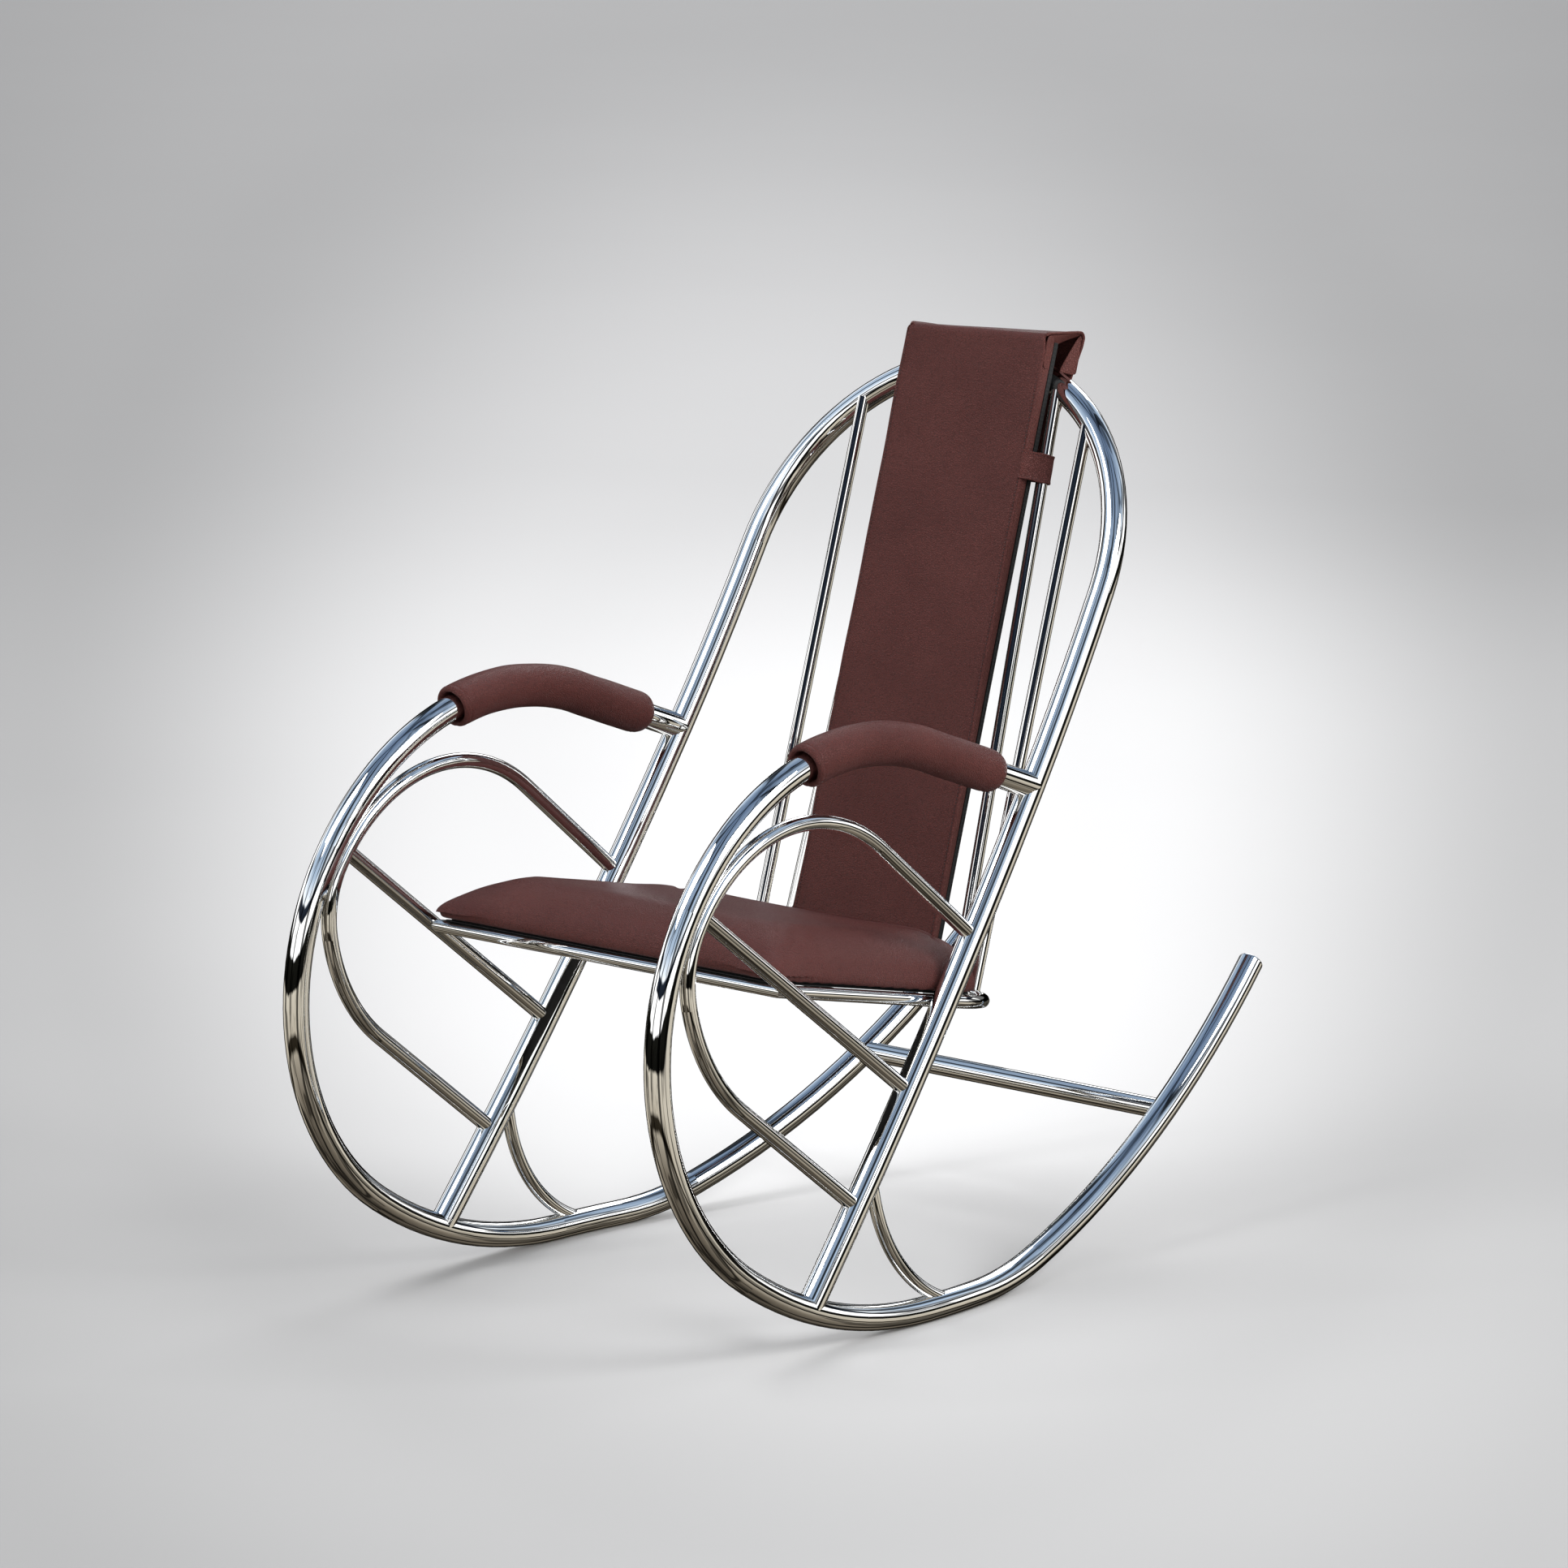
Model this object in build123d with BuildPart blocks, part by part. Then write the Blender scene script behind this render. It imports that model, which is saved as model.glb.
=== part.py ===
from build123d import *
import os
from math import atan, cos, degrees, radians, sin, sqrt, tan

os.makedirs("parts", exist_ok=True)

# Rocking chair of bent stainless steel tube with leatherette pads.
# Millimetres. +Z is up, the sitter faces -Y, +X is the sitter's left.

# Round tubes, outside diameters and walls
rocker_diameter = 31.75
hoop_diameter = 31.75
loop_diameter = 19.0
strut_diameter = 19.0
brace_diameter = 16.0
crossbar_diameter = 25.4
seat_tube_diameter = 16.0
slat_diameter = 15.0
main_wall = 1.5
small_wall = 1.2
# Clear space left between two welded tubes
weld_gap = 0.1

# Side frames: distance from the middle at the floor, inward lean in degrees
side_spread = 303.0
side_camber = 1.45

# Rocker and arm, one tube: resting stretch, then the bends up to the arm
rest_front_y = -84.4
rest_length = 104.0
toe_in = 6.9
lower_bend_radius = 574.7
lower_bend_angle = 33.2
front_bend_radius = 318.1
front_bend_angle = 91.7
arm_bend_radius = 361.2
arm_bend_angle = 75.4
arm_straight = 201.7
# Runner behind the resting stretch
runner_front_radius = 429.6
runner_front_angle = 16.4
runner_rear_radius = 1226.7
runner_rear_angle = 26.6
# Domed caps in the open rear ends
cap_thickness = 4.0
cap_rounding = 3.2
cap_spigot = 12.0
cap_clearance = 0.15

# Back hoop: its foot on the rocker, lean from vertical, the two gentle bends of a leg
hoop_foot_share = 0.639
leg_lean_at_foot = 39.3
lower_leg_radius = 7060.0
lower_leg_angle = 5.7
upper_leg_radius = 3400.0
upper_leg_angle = 4.3

# Loop inside each side frame: where it touches the front bend, its bends and ends
loop_touch_share = 0.984
loop_top_radius = 216.6
loop_top_angle = 95.4
loop_top_straight = 213.0
loop_front_radius = 120.0
loop_front_angle = 44.9
loop_low_radius = 225.5
loop_low_angle = 41.4
loop_low_straight = 242.0

# Diagonal strut from the loop to the post, and the bent brace behind the post
strut_top_share = 0.045
strut_foot_share = 0.42
brace_start_share = 0.494
brace_lift_angle = 22.8
brace_lead = 24.0
brace_radius = 199.0
brace_angle = 54.7
brace_straight = 70.0

# Rear crossbar between the runners
crossbar_share = 0.56

# Seat frame: its front bar, slope down to the rear in degrees, rear corners
seat_front_y = -315.0
seat_front_height = 437.5
seat_slope = 11.6
seat_frame_depth = 480.0
seat_corner_radius = 150.0

# Back slats
outer_slat_spread = 181.0
inner_slat_foot_spread = 143.0
inner_slat_top_spread = 117.0
slat_front_set = 10.5

# Upholstery
soft_gap = 0.3
cover_thickness = 1.2
lining_thickness = 0.8
seat_board_thickness = 9.0
seat_board_inset = 5.0
seat_half_width = 277.0
seat_overhang = 12.0
seat_length = 438.0
seat_front_corner = 34.0
seat_rear_corner = 120.0
seat_side_draw = 3.0
seat_foam_height = 56.0
seat_crown_rise = 12.0
seat_top_rounding = 27.0
seat_under_rounding = 9.0
back_half_width = 112.5
back_foot = 40.0
back_top_rise = 57.3
back_board_thickness = 6.5
back_foam_height = 17.8
back_crown_rise = 2.5
back_rounding = 6.0

# Hood over the top of the hoop, its hanging rear flap and the sleeve on the tube
hood_thickness = 2.0
hood_rise = 22.0
hood_rear = 45.0
hood_rounding = 9.0
hood_flap_length = 186.0
hood_flap_half_width = 82.0
wrap_thickness = 1.6
wrap_half_angle = 20.5

# Loops of strap that hold the back pad to the inner slats, below the slats' upper ends
strap_height = 36.0
strap_thickness = 2.0
strap_gap = 0.4
strap_drop = 98.3

# Arm pads
arm_pad_diameter = 53.0
arm_pad_bore_gap = 0.3
arm_pad_start_share = 0.535
arm_pad_straight_share = 0.64
arm_pad_rounding = 8.0

# Tabs and screws that hold the seat board
tab_width = 26.0
tab_reach = 26.0
tab_thickness = 2.5
tab_front_place = 90.0
tab_rear_place = 315.0
screw_diameter = 4.0
screw_clearance = 0.2
screw_bite = 6.0
screw_head_diameter = 9.0
screw_head_height = 2.6

# Offcuts that fall away beyond a welded end are this many tube diameters long
overrun_share = 2.0


def swept_tube(path, diameter, wall):
    """Hollow round tube along the path."""
    with BuildPart() as tube:
        with BuildSketch(Plane(origin=path @ 0, z_dir=path % 0)):
            Circle(diameter / 2)
            Circle(diameter / 2 - wall, mode=Mode.SUBTRACT)
        sweep(path=path)
    return tube.part


def swept_rod(path, diameter, clearance):
    """The full round space along the path that a tube and its clearance take."""
    with BuildPart() as rod:
        with BuildSketch(Plane(origin=path @ 0, z_dir=path % 0)):
            Circle(diameter / 2 + clearance)
        sweep(path=path)
    return rod.part


def coped(piece, *rods):
    """The piece with its ends cut to saddles round the rods, offcuts dropped."""
    with BuildPart() as cut:
        add(piece)
        for rod in rods:
            add(rod, mode=Mode.SUBTRACT)
    with BuildPart() as largest:
        add(cut.solids().sort_by(SortBy.VOLUME)[-1])
    return largest.part


def mirrored(piece):
    """The same piece on the other side of the chair."""
    with BuildPart() as other:
        mirror(piece, about=Plane.YZ)
    return other.part


# Planes of the side frames and of the seat frame


def frame_plane(side):
    """Plane of a side frame, 1 for the left one and -1 for the right one."""
    return Plane(
        origin=(side * side_spread, 0, 0),
        x_dir=(0, 1, 0),
        z_dir=(cos(radians(side_camber)), 0, side * sin(radians(side_camber))),
    )


side_plane = frame_plane(1)
seat_plane = Plane(
    origin=(0, seat_front_y, seat_front_height),
    x_dir=(1, 0, 0),
    z_dir=(0, sin(radians(seat_slope)), cos(radians(seat_slope))),
)

# Rocker tube, forwards and up from the resting stretch to the arm


def arm_edges(side):
    """Lower bend, front bend, arm bend and straight arm of one side."""
    with BuildLine(frame_plane(side)):
        low = JernArc(
            (rest_front_y, rocker_diameter / 2), (-1, 0), lower_bend_radius, -lower_bend_angle
        )
        front = JernArc(low @ 1, low % 1, front_bend_radius, -front_bend_angle)
        top = JernArc(front @ 1, front % 1, arm_bend_radius, -arm_bend_angle)
        reach = arm_straight + overrun_share * hoop_diameter
        straight = Line(top @ 1, top @ 1 + (top % 1) * reach)
    return low, front, top, straight


lower_bend, front_bend, arm_bend, arm_line = arm_edges(1)
with BuildLine() as arm_side:
    for edge in (lower_bend, front_bend, arm_bend, arm_line):
        add(edge)

# The resting stretch turns inwards in the floor's plane, then the runner climbs
rest_radius = rest_length / radians(toe_in)
with BuildLine(Plane.XY.offset((lower_bend @ 0).Z)) as rest_side:
    rest_bend = JernArc(lower_bend @ 0, Vector(0, 1, 0), rest_radius, toe_in)
runner_plane = Plane(
    origin=rest_bend @ 1,
    x_dir=rest_bend % 1,
    z_dir=(rest_bend % 1).cross(Vector(0, 0, 1)),
)
with BuildLine(runner_plane) as runner_side:
    runner_front = JernArc(rest_bend @ 1, rest_bend % 1, runner_front_radius, runner_front_angle)
    runner_rear = JernArc(
        runner_front @ 1, runner_front % 1, runner_rear_radius, runner_rear_angle
    )

# One leg of the hoop from its foot on the rocker, then half of the arch
foot_point = lower_bend @ hoop_foot_share
lean = radians(leg_lean_at_foot)
with BuildLine(side_plane) as leg_side:
    lower_leg = JernArc(foot_point, (sin(lean), cos(lean)), lower_leg_radius, lower_leg_angle)
    upper_leg = JernArc(lower_leg @ 1, lower_leg % 1, upper_leg_radius, upper_leg_angle)
leg_end = upper_leg @ 1
leg_heading = upper_leg % 1
arch_plane = Plane(
    origin=(0, leg_end.Y, leg_end.Z),
    x_dir=(1, 0, 0),
    z_dir=Vector(1, 0, 0).cross(Vector(0, leg_heading.Y, leg_heading.Z)),
)
inward = degrees(atan(-leg_heading.X / sqrt(leg_heading.Y**2 + leg_heading.Z**2)))
arch_radius = leg_end.X / cos(radians(inward))
arch_turn = 90 - inward
with BuildLine(arch_plane) as arch_side:
    arch_half = JernArc(leg_end, leg_heading, arch_radius, arch_turn)
with BuildLine() as hoop_line:
    add(leg_side.line)
    add(arch_side.line)
    mirror(about=Plane.YZ)
hoop_path = hoop_line.wire()

# Spaces of the main tubes, to which the ends of other tubes are cut
hoop_rod = swept_rod(hoop_path, hoop_diameter, weld_gap)
with BuildLine() as leg_line:
    add(leg_side.line)
leg_path = leg_line.wire()


def post_rod(crossing):
    """Straight length of post, with the weld gap, where a tube's line crosses it."""
    meeting = leg_path.closest_points(crossing)[0]
    reach = (leg_path.tangent_at(meeting)) * (overrun_share * hoop_diameter)
    with BuildLine() as stretch:
        Line(meeting - reach, meeting + reach)
    return swept_rod(stretch.wire(), hoop_diameter, weld_gap)


with BuildLine() as foot_line:
    add(lower_bend)
    add(rest_side.line)
    add(runner_side.line)
low_rocker_rod = swept_rod(foot_line.wire(), rocker_diameter, weld_gap)

with BuildLine() as rocker_line:
    add(arm_side.line)
    add(rest_side.line)
    add(runner_side.line)
rocker_tube_left = coped(
    swept_tube(rocker_line.wire(), rocker_diameter, main_wall), post_rod(arm_line)
)
back_hoop = coped(
    swept_tube(hoop_path, hoop_diameter, main_wall), low_rocker_rod, mirrored(low_rocker_rod)
)

# Caps in the rear ends of the runners
cap_plane = Plane(origin=runner_rear @ 1, z_dir=runner_rear % 1)
with BuildPart(cap_plane) as end_cap:
    Cylinder(
        rocker_diameter / 2,
        cap_thickness,
        align=(Align.CENTER, Align.CENTER, Align.MIN),
    )
    rim = end_cap.faces().sort_by(Axis(cap_plane.origin, cap_plane.z_dir))[-1].edges()
    fillet(rim, cap_rounding)
    Cylinder(
        rocker_diameter / 2 - main_wall - cap_clearance,
        cap_spigot,
        align=(Align.CENTER, Align.CENTER, Align.MAX),
    )

# Loop inside the side frame, touching the inner side of the front bend
touch_heading = front_bend % loop_touch_share
touch_inward = touch_heading.cross(side_plane.z_dir)
loop_offset = rocker_diameter / 2 + loop_diameter / 2 + weld_gap
loop_start = front_bend @ loop_touch_share + touch_inward * loop_offset
loop_overrun = overrun_share * hoop_diameter
with BuildLine(side_plane) as loop_side:
    loop_top = JernArc(loop_start, touch_heading, loop_top_radius, -loop_top_angle)
    loop_top_end = loop_top @ 1 + (loop_top % 1) * (loop_top_straight + loop_overrun)
    loop_top_line = Line(loop_top @ 1, loop_top_end)
    loop_front = JernArc(loop_start, touch_heading * -1, loop_front_radius, loop_front_angle)
    loop_low = JernArc(loop_front @ 1, loop_front % 1, loop_low_radius, loop_low_angle)
    loop_low_end = loop_low @ 1 + (loop_low % 1) * (loop_low_straight + loop_overrun)
    loop_low_line = Line(loop_low @ 1, loop_low_end)
loop_path = loop_side.wire()
loop_rod = swept_rod(loop_path, loop_diameter, weld_gap)
side_loop_left = coped(
    swept_tube(loop_path, loop_diameter, small_wall),
    post_rod(loop_top_line),
    post_rod(loop_low_line),
)

# Diagonal strut from the loop to the post
strut_top = loop_top @ strut_top_share
strut_foot = lower_leg @ strut_foot_share
strut_heading = (strut_foot - strut_top).normalized()
strut_overrun = overrun_share * strut_diameter
with BuildLine() as strut_line:
    Line(
        strut_top - strut_heading * loop_diameter / 2,
        strut_foot + strut_heading * strut_overrun,
    )
strut_path = strut_line.wire()
strut_rod = swept_rod(strut_path, strut_diameter, weld_gap)
strut_left = coped(swept_tube(strut_path, strut_diameter, small_wall), loop_rod, post_rod(strut_path))

# Bent brace from the resting stretch up to the rear of the post
brace_start_y = rest_front_y + brace_start_share * rest_length
brace_heading = 180 - brace_lift_angle
with BuildLine(side_plane) as brace_side:
    brace_foot = Line(
        (brace_start_y, rocker_diameter / 2),
        (
            brace_start_y + brace_lead * cos(radians(brace_heading)),
            rocker_diameter / 2 + brace_lead * sin(radians(brace_heading)),
        ),
    )
    brace_bend = JernArc(brace_foot @ 1, brace_foot % 1, brace_radius, -brace_angle)
    brace_end = Line(brace_bend @ 1, brace_bend @ 1 + (brace_bend % 1) * brace_straight)
brace_left = coped(
    swept_tube(brace_side.wire(), brace_diameter, small_wall),
    low_rocker_rod,
    post_rod(brace_end),
)

# Crossbar between the two runners
crossbar_end = runner_rear @ crossbar_share
with BuildLine() as crossbar_line:
    Line(crossbar_end, Vector(-crossbar_end.X, crossbar_end.Y, crossbar_end.Z))
rear_crossbar = coped(
    swept_tube(crossbar_line.wire(), crossbar_diameter, small_wall),
    low_rocker_rod,
    mirrored(low_rocker_rod),
)

# Seat frame: the rails lie against the struts in front and the posts behind


def side_x(height):
    """Distance of a side frame's middle plane from the chair's middle."""
    return side_spread - height * tan(radians(side_camber))


def post_y(height):
    """Depth of the post's centre line at a height, on its lower leg."""
    share = (height - foot_point.Z) / ((lower_leg @ 1).Z - foot_point.Z)
    return (lower_leg @ share).Y


rail_radius = seat_tube_diameter / 2
post_height = seat_front_height - (0 - seat_front_y) * tan(radians(seat_slope))
rail_post_y = post_y(post_height)
post_height = seat_front_height - (rail_post_y - seat_front_y) * tan(radians(seat_slope))
rail_post_x = side_x(post_height) - hoop_diameter / 2 - rail_radius - weld_gap
rail_front_x = side_x(seat_front_height) - strut_diameter / 2 - rail_radius - weld_gap
rail_post_place = (rail_post_y - seat_front_y) / cos(radians(seat_slope))
rail_splay = atan((rail_front_x - rail_post_x) / rail_post_place)
rail_rise = seat_corner_radius * (1 - sin(rail_splay))
rail_length = seat_frame_depth - seat_corner_radius * cos(rail_splay)
corner_x = rail_front_x - rail_length * tan(rail_splay)
with BuildLine(seat_plane) as ring_side:
    rail_lead = seat_tube_diameter
    rail = Line(
        (rail_front_x + rail_lead * tan(rail_splay), -rail_lead), (corner_x, rail_length)
    )
    ring_corner = JernArc(rail @ 1, rail % 1, seat_corner_radius, 90 - degrees(rail_splay))
    rear_middle = seat_plane.from_local_coords(Vector(0, seat_frame_depth, 0))
    Line(ring_corner @ 1, rear_middle)
with BuildLine() as ring_line:
    add(ring_side.line)
    mirror(about=Plane.YZ)
ring_path = ring_line.wire()
ring_rod = swept_rod(ring_path, seat_tube_diameter, weld_gap)


def mitre_block(side, clearance, end):
    """Block on one face of a front corner's mitre, which faces back and out."""
    corner = seat_plane.from_local_coords(Vector(side * rail_front_x, 0, 0))
    facing = (seat_plane.x_dir * side + seat_plane.y_dir).normalized()
    size = 2 * overrun_share * seat_tube_diameter
    with BuildPart(Plane(origin=corner + facing * clearance, z_dir=facing)) as block:
        Box(size, size, size, align=(Align.CENTER, Align.CENTER, end))
    return block.part


with BuildPart() as seat_frame_ring:
    add(swept_tube(ring_path, seat_tube_diameter, small_wall))
    for side in (1, -1):
        add(mitre_block(side, weld_gap / 2, Align.MAX), mode=Mode.SUBTRACT)
with BuildLine(seat_plane) as front_bar_line:
    front_bar_end = rail_front_x + rail_lead
    Line((-front_bar_end, 0), (front_bar_end, 0))
with BuildPart() as seat_frame_front:
    add(swept_tube(front_bar_line.wire(), seat_tube_diameter, small_wall))
    for side in (1, -1):
        add(mitre_block(side, -weld_gap / 2, Align.MIN), mode=Mode.SUBTRACT)


def arch_point(across):
    """Point of the arch's centre line at a distance from the chair's middle."""
    up = sqrt(arch_radius**2 - across**2)
    drop = arch_radius * sin(radians(inward))
    return arch_plane.from_local_coords(Vector(across, up - drop, 0))


def ring_point(across):
    """Point of the seat ring's rear centre line at a distance from the middle."""
    beyond = max(across - (ring_corner @ 1).X, 0)
    place = seat_frame_depth - seat_corner_radius + sqrt(seat_corner_radius**2 - beyond**2)
    return seat_plane.from_local_coords(Vector(across, place, 0))


def slat(foot_spread, top_spread):
    """Straight slat from the seat ring to the front of the arch."""
    foot = ring_point(foot_spread)
    top = arch_point(top_spread) - Vector(0, slat_front_set, 0)
    with BuildLine() as slat_line:
        Line(foot, top)
    tube = swept_tube(slat_line.wire(), slat_diameter, small_wall)
    return coped(tube, ring_rod, hoop_rod)


slat_outer_left = slat(outer_slat_spread, outer_slat_spread)
slat_inner_left = slat(inner_slat_foot_spread, inner_slat_top_spread)

# Seat board, foam and cover, each in its own layer above the seat frame
board_floor = rail_radius + lining_thickness + 2 * soft_gap
board_top = board_floor + seat_board_thickness
cushion_floor = board_top + soft_gap


def seat_outline(inset):
    """Plan of the seat pad: drawn-in sides and rounded corners."""
    half_width = seat_half_width - inset
    front = inset - seat_overhang
    rear = seat_length - seat_overhang - inset
    middle = (front + rear) / 2
    draw = seat_side_draw
    with BuildLine() as edge:
        Line((-half_width, front), (half_width, front))
        ThreePointArc((half_width, front), (half_width - draw, middle), (half_width, rear))
        Line((half_width, rear), (-half_width, rear))
        ThreePointArc((-half_width, rear), (draw - half_width, middle), (-half_width, front))
    with BuildSketch() as plan:
        add(edge.line)
        make_face()
        fillet(plan.vertices().group_by(Axis.Y)[0], seat_front_corner - inset)
        fillet(plan.vertices().group_by(Axis.Y)[-1], seat_rear_corner - inset)
    return plan.sketch


def seat_block(inset):
    """Crowned block of the seat pad, drawn in on all sides by the inset."""
    floor = cushion_floor + inset
    crown = cushion_floor + seat_foam_height - inset
    reach = seat_half_width + seat_overhang
    edge = crown - seat_crown_rise * (reach / seat_half_width) ** 2
    section = Plane(
        origin=seat_plane.from_local_coords(Vector(0, -2 * seat_overhang, 0)),
        x_dir=(-1, 0, 0),
        z_dir=seat_plane.y_dir,
    )
    with BuildPart() as block:
        with BuildSketch(seat_plane.offset(floor)):
            add(seat_outline(inset))
        extrude(amount=seat_foam_height)
        with BuildSketch(section):
            with BuildLine():
                Polyline((-reach, edge), (-reach, floor), (reach, floor), (reach, edge))
                ThreePointArc((reach, edge), (0, crown), (-reach, edge))
            make_face()
        extrude(amount=seat_length + 2 * seat_overhang, mode=Mode.INTERSECT)
        up = Axis(seat_plane.origin, seat_plane.z_dir)
        levels = block.faces().sort_by(up)
        under = levels[0].edges()
        fillet(levels[-1].edges(), seat_top_rounding - inset)
        fillet(under, seat_under_rounding - inset)
    return block.part


def plate(outline, floor, thickness):
    """Flat plate of an outline, parallel to the seat frame."""
    with BuildPart() as flat:
        with BuildSketch(seat_plane.offset(floor)):
            add(outline)
        extrude(amount=thickness)
    return flat.part


tab_places = [
    (side, place) for place in (tab_front_place, tab_rear_place) for side in (1, -1)
]
screw_inset = tab_reach - tab_width / 2


def screw_x(place):
    """Distance of a screw from the chair's middle, half a tab inside its rail."""
    return rail_front_x - place * tan(rail_splay) - screw_inset - rail_radius


with BuildPart() as seat_lining:
    add(plate(seat_outline(seat_board_inset), rail_radius + soft_gap, lining_thickness))
    with Locations(seat_plane.offset(board_floor)):
        with Locations(*[(side * screw_x(place), place) for side, place in tab_places]):
            Cylinder(screw_diameter / 2 + screw_clearance, board_floor, mode=Mode.SUBTRACT)
with BuildPart() as seat_board:
    add(plate(seat_outline(seat_board_inset), board_floor, seat_board_thickness))
    with Locations(seat_plane.offset(board_floor)):
        with Locations(*[(side * screw_x(place), place) for side, place in tab_places]):
            Cylinder(
                screw_diameter / 2 + screw_clearance,
                screw_bite + soft_gap,
                align=(Align.CENTER, Align.CENTER, Align.MIN),
                mode=Mode.SUBTRACT,
            )
with BuildPart() as seat_cover:
    add(seat_block(0))
    add(seat_block(cover_thickness), mode=Mode.SUBTRACT)
seat_foam = seat_block(cover_thickness + soft_gap)

# Tabs on the rails and the screws that hold the board to them
tab_top = rail_radius
with BuildPart() as seat_tabs:
    for side, place in tab_places:
        rail_x = rail_front_x - place * tan(rail_splay)
        with BuildSketch(seat_plane.offset(tab_top)):
            with Locations((side * (rail_x - tab_reach / 2 - rail_radius / 2), place)):
                RectangleRounded(tab_reach + rail_radius, tab_width, rail_radius / 2)
            with Locations((side * screw_x(place), place)):
                Circle(screw_diameter / 2 + screw_clearance, mode=Mode.SUBTRACT)
        extrude(amount=-tab_thickness)
    add(ring_rod, mode=Mode.SUBTRACT)
with BuildPart() as seat_screws:
    for side, place in tab_places:
        head_top = tab_top - tab_thickness - weld_gap
        with BuildSketch(seat_plane.offset(head_top)):
            with Locations((side * screw_x(place), place)):
                Circle(screw_head_diameter / 2)
        extrude(amount=-screw_head_height)
        with BuildSketch(seat_plane.offset(head_top)):
            with Locations((side * screw_x(place), place)):
                Circle(screw_diameter / 2)
        extrude(amount=board_floor + screw_bite - head_top)

# Back pad: its foot is measured up from the seat ring, its top from the upper ends of the slats
slat_foot = ring_point(0)
slat_head = arch_point(inner_slat_top_spread) - Vector(0, slat_front_set, 0)
back_up = Vector(0, slat_head.Y - slat_foot.Y, slat_head.Z - slat_foot.Z).normalized()
back_out = Vector(1, 0, 0).cross(back_up)
pad_origin = slat_foot + back_out * (slat_diameter / 2 + soft_gap)
back_top = (slat_head - slat_foot).dot(back_up) + back_top_rise


def back_section(along):
    """Plane across the back pad, local Y pointing out of its front face."""
    return Plane(origin=pad_origin + back_up * along, x_dir=(-1, 0, 0), z_dir=back_up)


def back_plate(floor, thickness, inset):
    """Flat layer of the back pad."""
    with BuildPart() as flat:
        with BuildSketch(back_section(back_foot + inset)):
            with Locations((0, floor + thickness / 2)):
                Rectangle(2 * (back_half_width - inset), thickness)
        extrude(amount=back_top - back_foot - 2 * inset)
    return flat.part


board_front = lining_thickness + soft_gap + back_board_thickness


def back_block(inset):
    """Slightly crowned block of the back pad."""
    half_width = back_half_width - inset
    floor = board_front + soft_gap + inset
    crown = floor + back_foam_height - 2 * inset
    edge = crown - back_crown_rise
    with BuildPart() as block:
        with BuildSketch(back_section(back_foot + inset)):
            with BuildLine():
                Polyline(
                    (-half_width, edge),
                    (-half_width, floor),
                    (half_width, floor),
                    (half_width, edge),
                )
                ThreePointArc((half_width, edge), (0, crown), (-half_width, edge))
            make_face()
        extrude(amount=back_top - back_foot - 2 * inset)
        fillet(block.faces().sort_by(Axis(pad_origin, back_out))[-1].edges(), back_rounding - inset)
    return block.part


back_lining = back_plate(0, lining_thickness, cover_thickness)
back_board = back_plate(lining_thickness + soft_gap, back_board_thickness, cover_thickness)
with BuildPart() as back_cover:
    add(back_block(0))
    add(back_block(cover_thickness), mode=Mode.SUBTRACT)
back_foam = back_block(cover_thickness + soft_gap)

# Hood: a sheet from the top of the pad over the hoop, with a tapered rear flap
pad_side = Plane(origin=pad_origin, x_dir=back_out * -1, z_dir=(1, 0, 0))
pad_face = Plane(origin=pad_origin, x_dir=(1, 0, 0), z_dir=back_out)
hood_floor = back_top + soft_gap
hood_top = hood_floor + hood_thickness + hood_rise
hood_front = board_front + soft_gap + back_foam_height - back_rounding
flap_end = hood_top - hood_flap_length
flap_start = hood_top - hood_rounding
with BuildPart() as back_hood:
    with BuildSketch(pad_side):
        with BuildLine():
            outer = FilletPolyline(
                (-hood_front, hood_floor + hood_thickness),
                (hood_rear, hood_top),
                (hood_rear, flap_end),
                radius=hood_rounding,
            )
            inner = FilletPolyline(
                (-hood_front, hood_floor),
                (hood_rear - hood_thickness, hood_top - hood_thickness),
                (hood_rear - hood_thickness, flap_end),
                radius=hood_rounding - hood_thickness,
            )
            Line(outer @ 0, inner @ 0)
            Line(outer @ 1, inner @ 1)
        make_face()
    extrude(amount=back_half_width, both=True)
    with BuildSketch(pad_face.offset(-hood_rear - hood_thickness)):
        with BuildLine():
            Polyline(
                (back_half_width, flap_start),
                (2 * back_half_width, flap_start),
                (2 * back_half_width, flap_end - hood_rounding),
                (hood_flap_half_width, flap_end - hood_rounding),
                (hood_flap_half_width, flap_end),
                close=True,
            )
        make_face()
        mirror(about=Plane.YZ)
    extrude(amount=hood_rear, mode=Mode.SUBTRACT)

# Sleeve of leatherette wrapped round the top of the hoop
arch_drop = arch_radius * sin(radians(inward))
with BuildLine(arch_plane) as wrap_line:
    CenterArc((0, -arch_drop), arch_radius, 90 - wrap_half_angle, 2 * wrap_half_angle)
wrap_bore = hoop_diameter / 2 + soft_gap
with BuildPart() as hoop_wrap:
    with BuildSketch(Plane(origin=wrap_line.wire() @ 0, z_dir=wrap_line.wire() % 0)):
        Circle(wrap_bore + wrap_thickness)
        Circle(wrap_bore, mode=Mode.SUBTRACT)
    sweep(path=wrap_line.wire())

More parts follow.
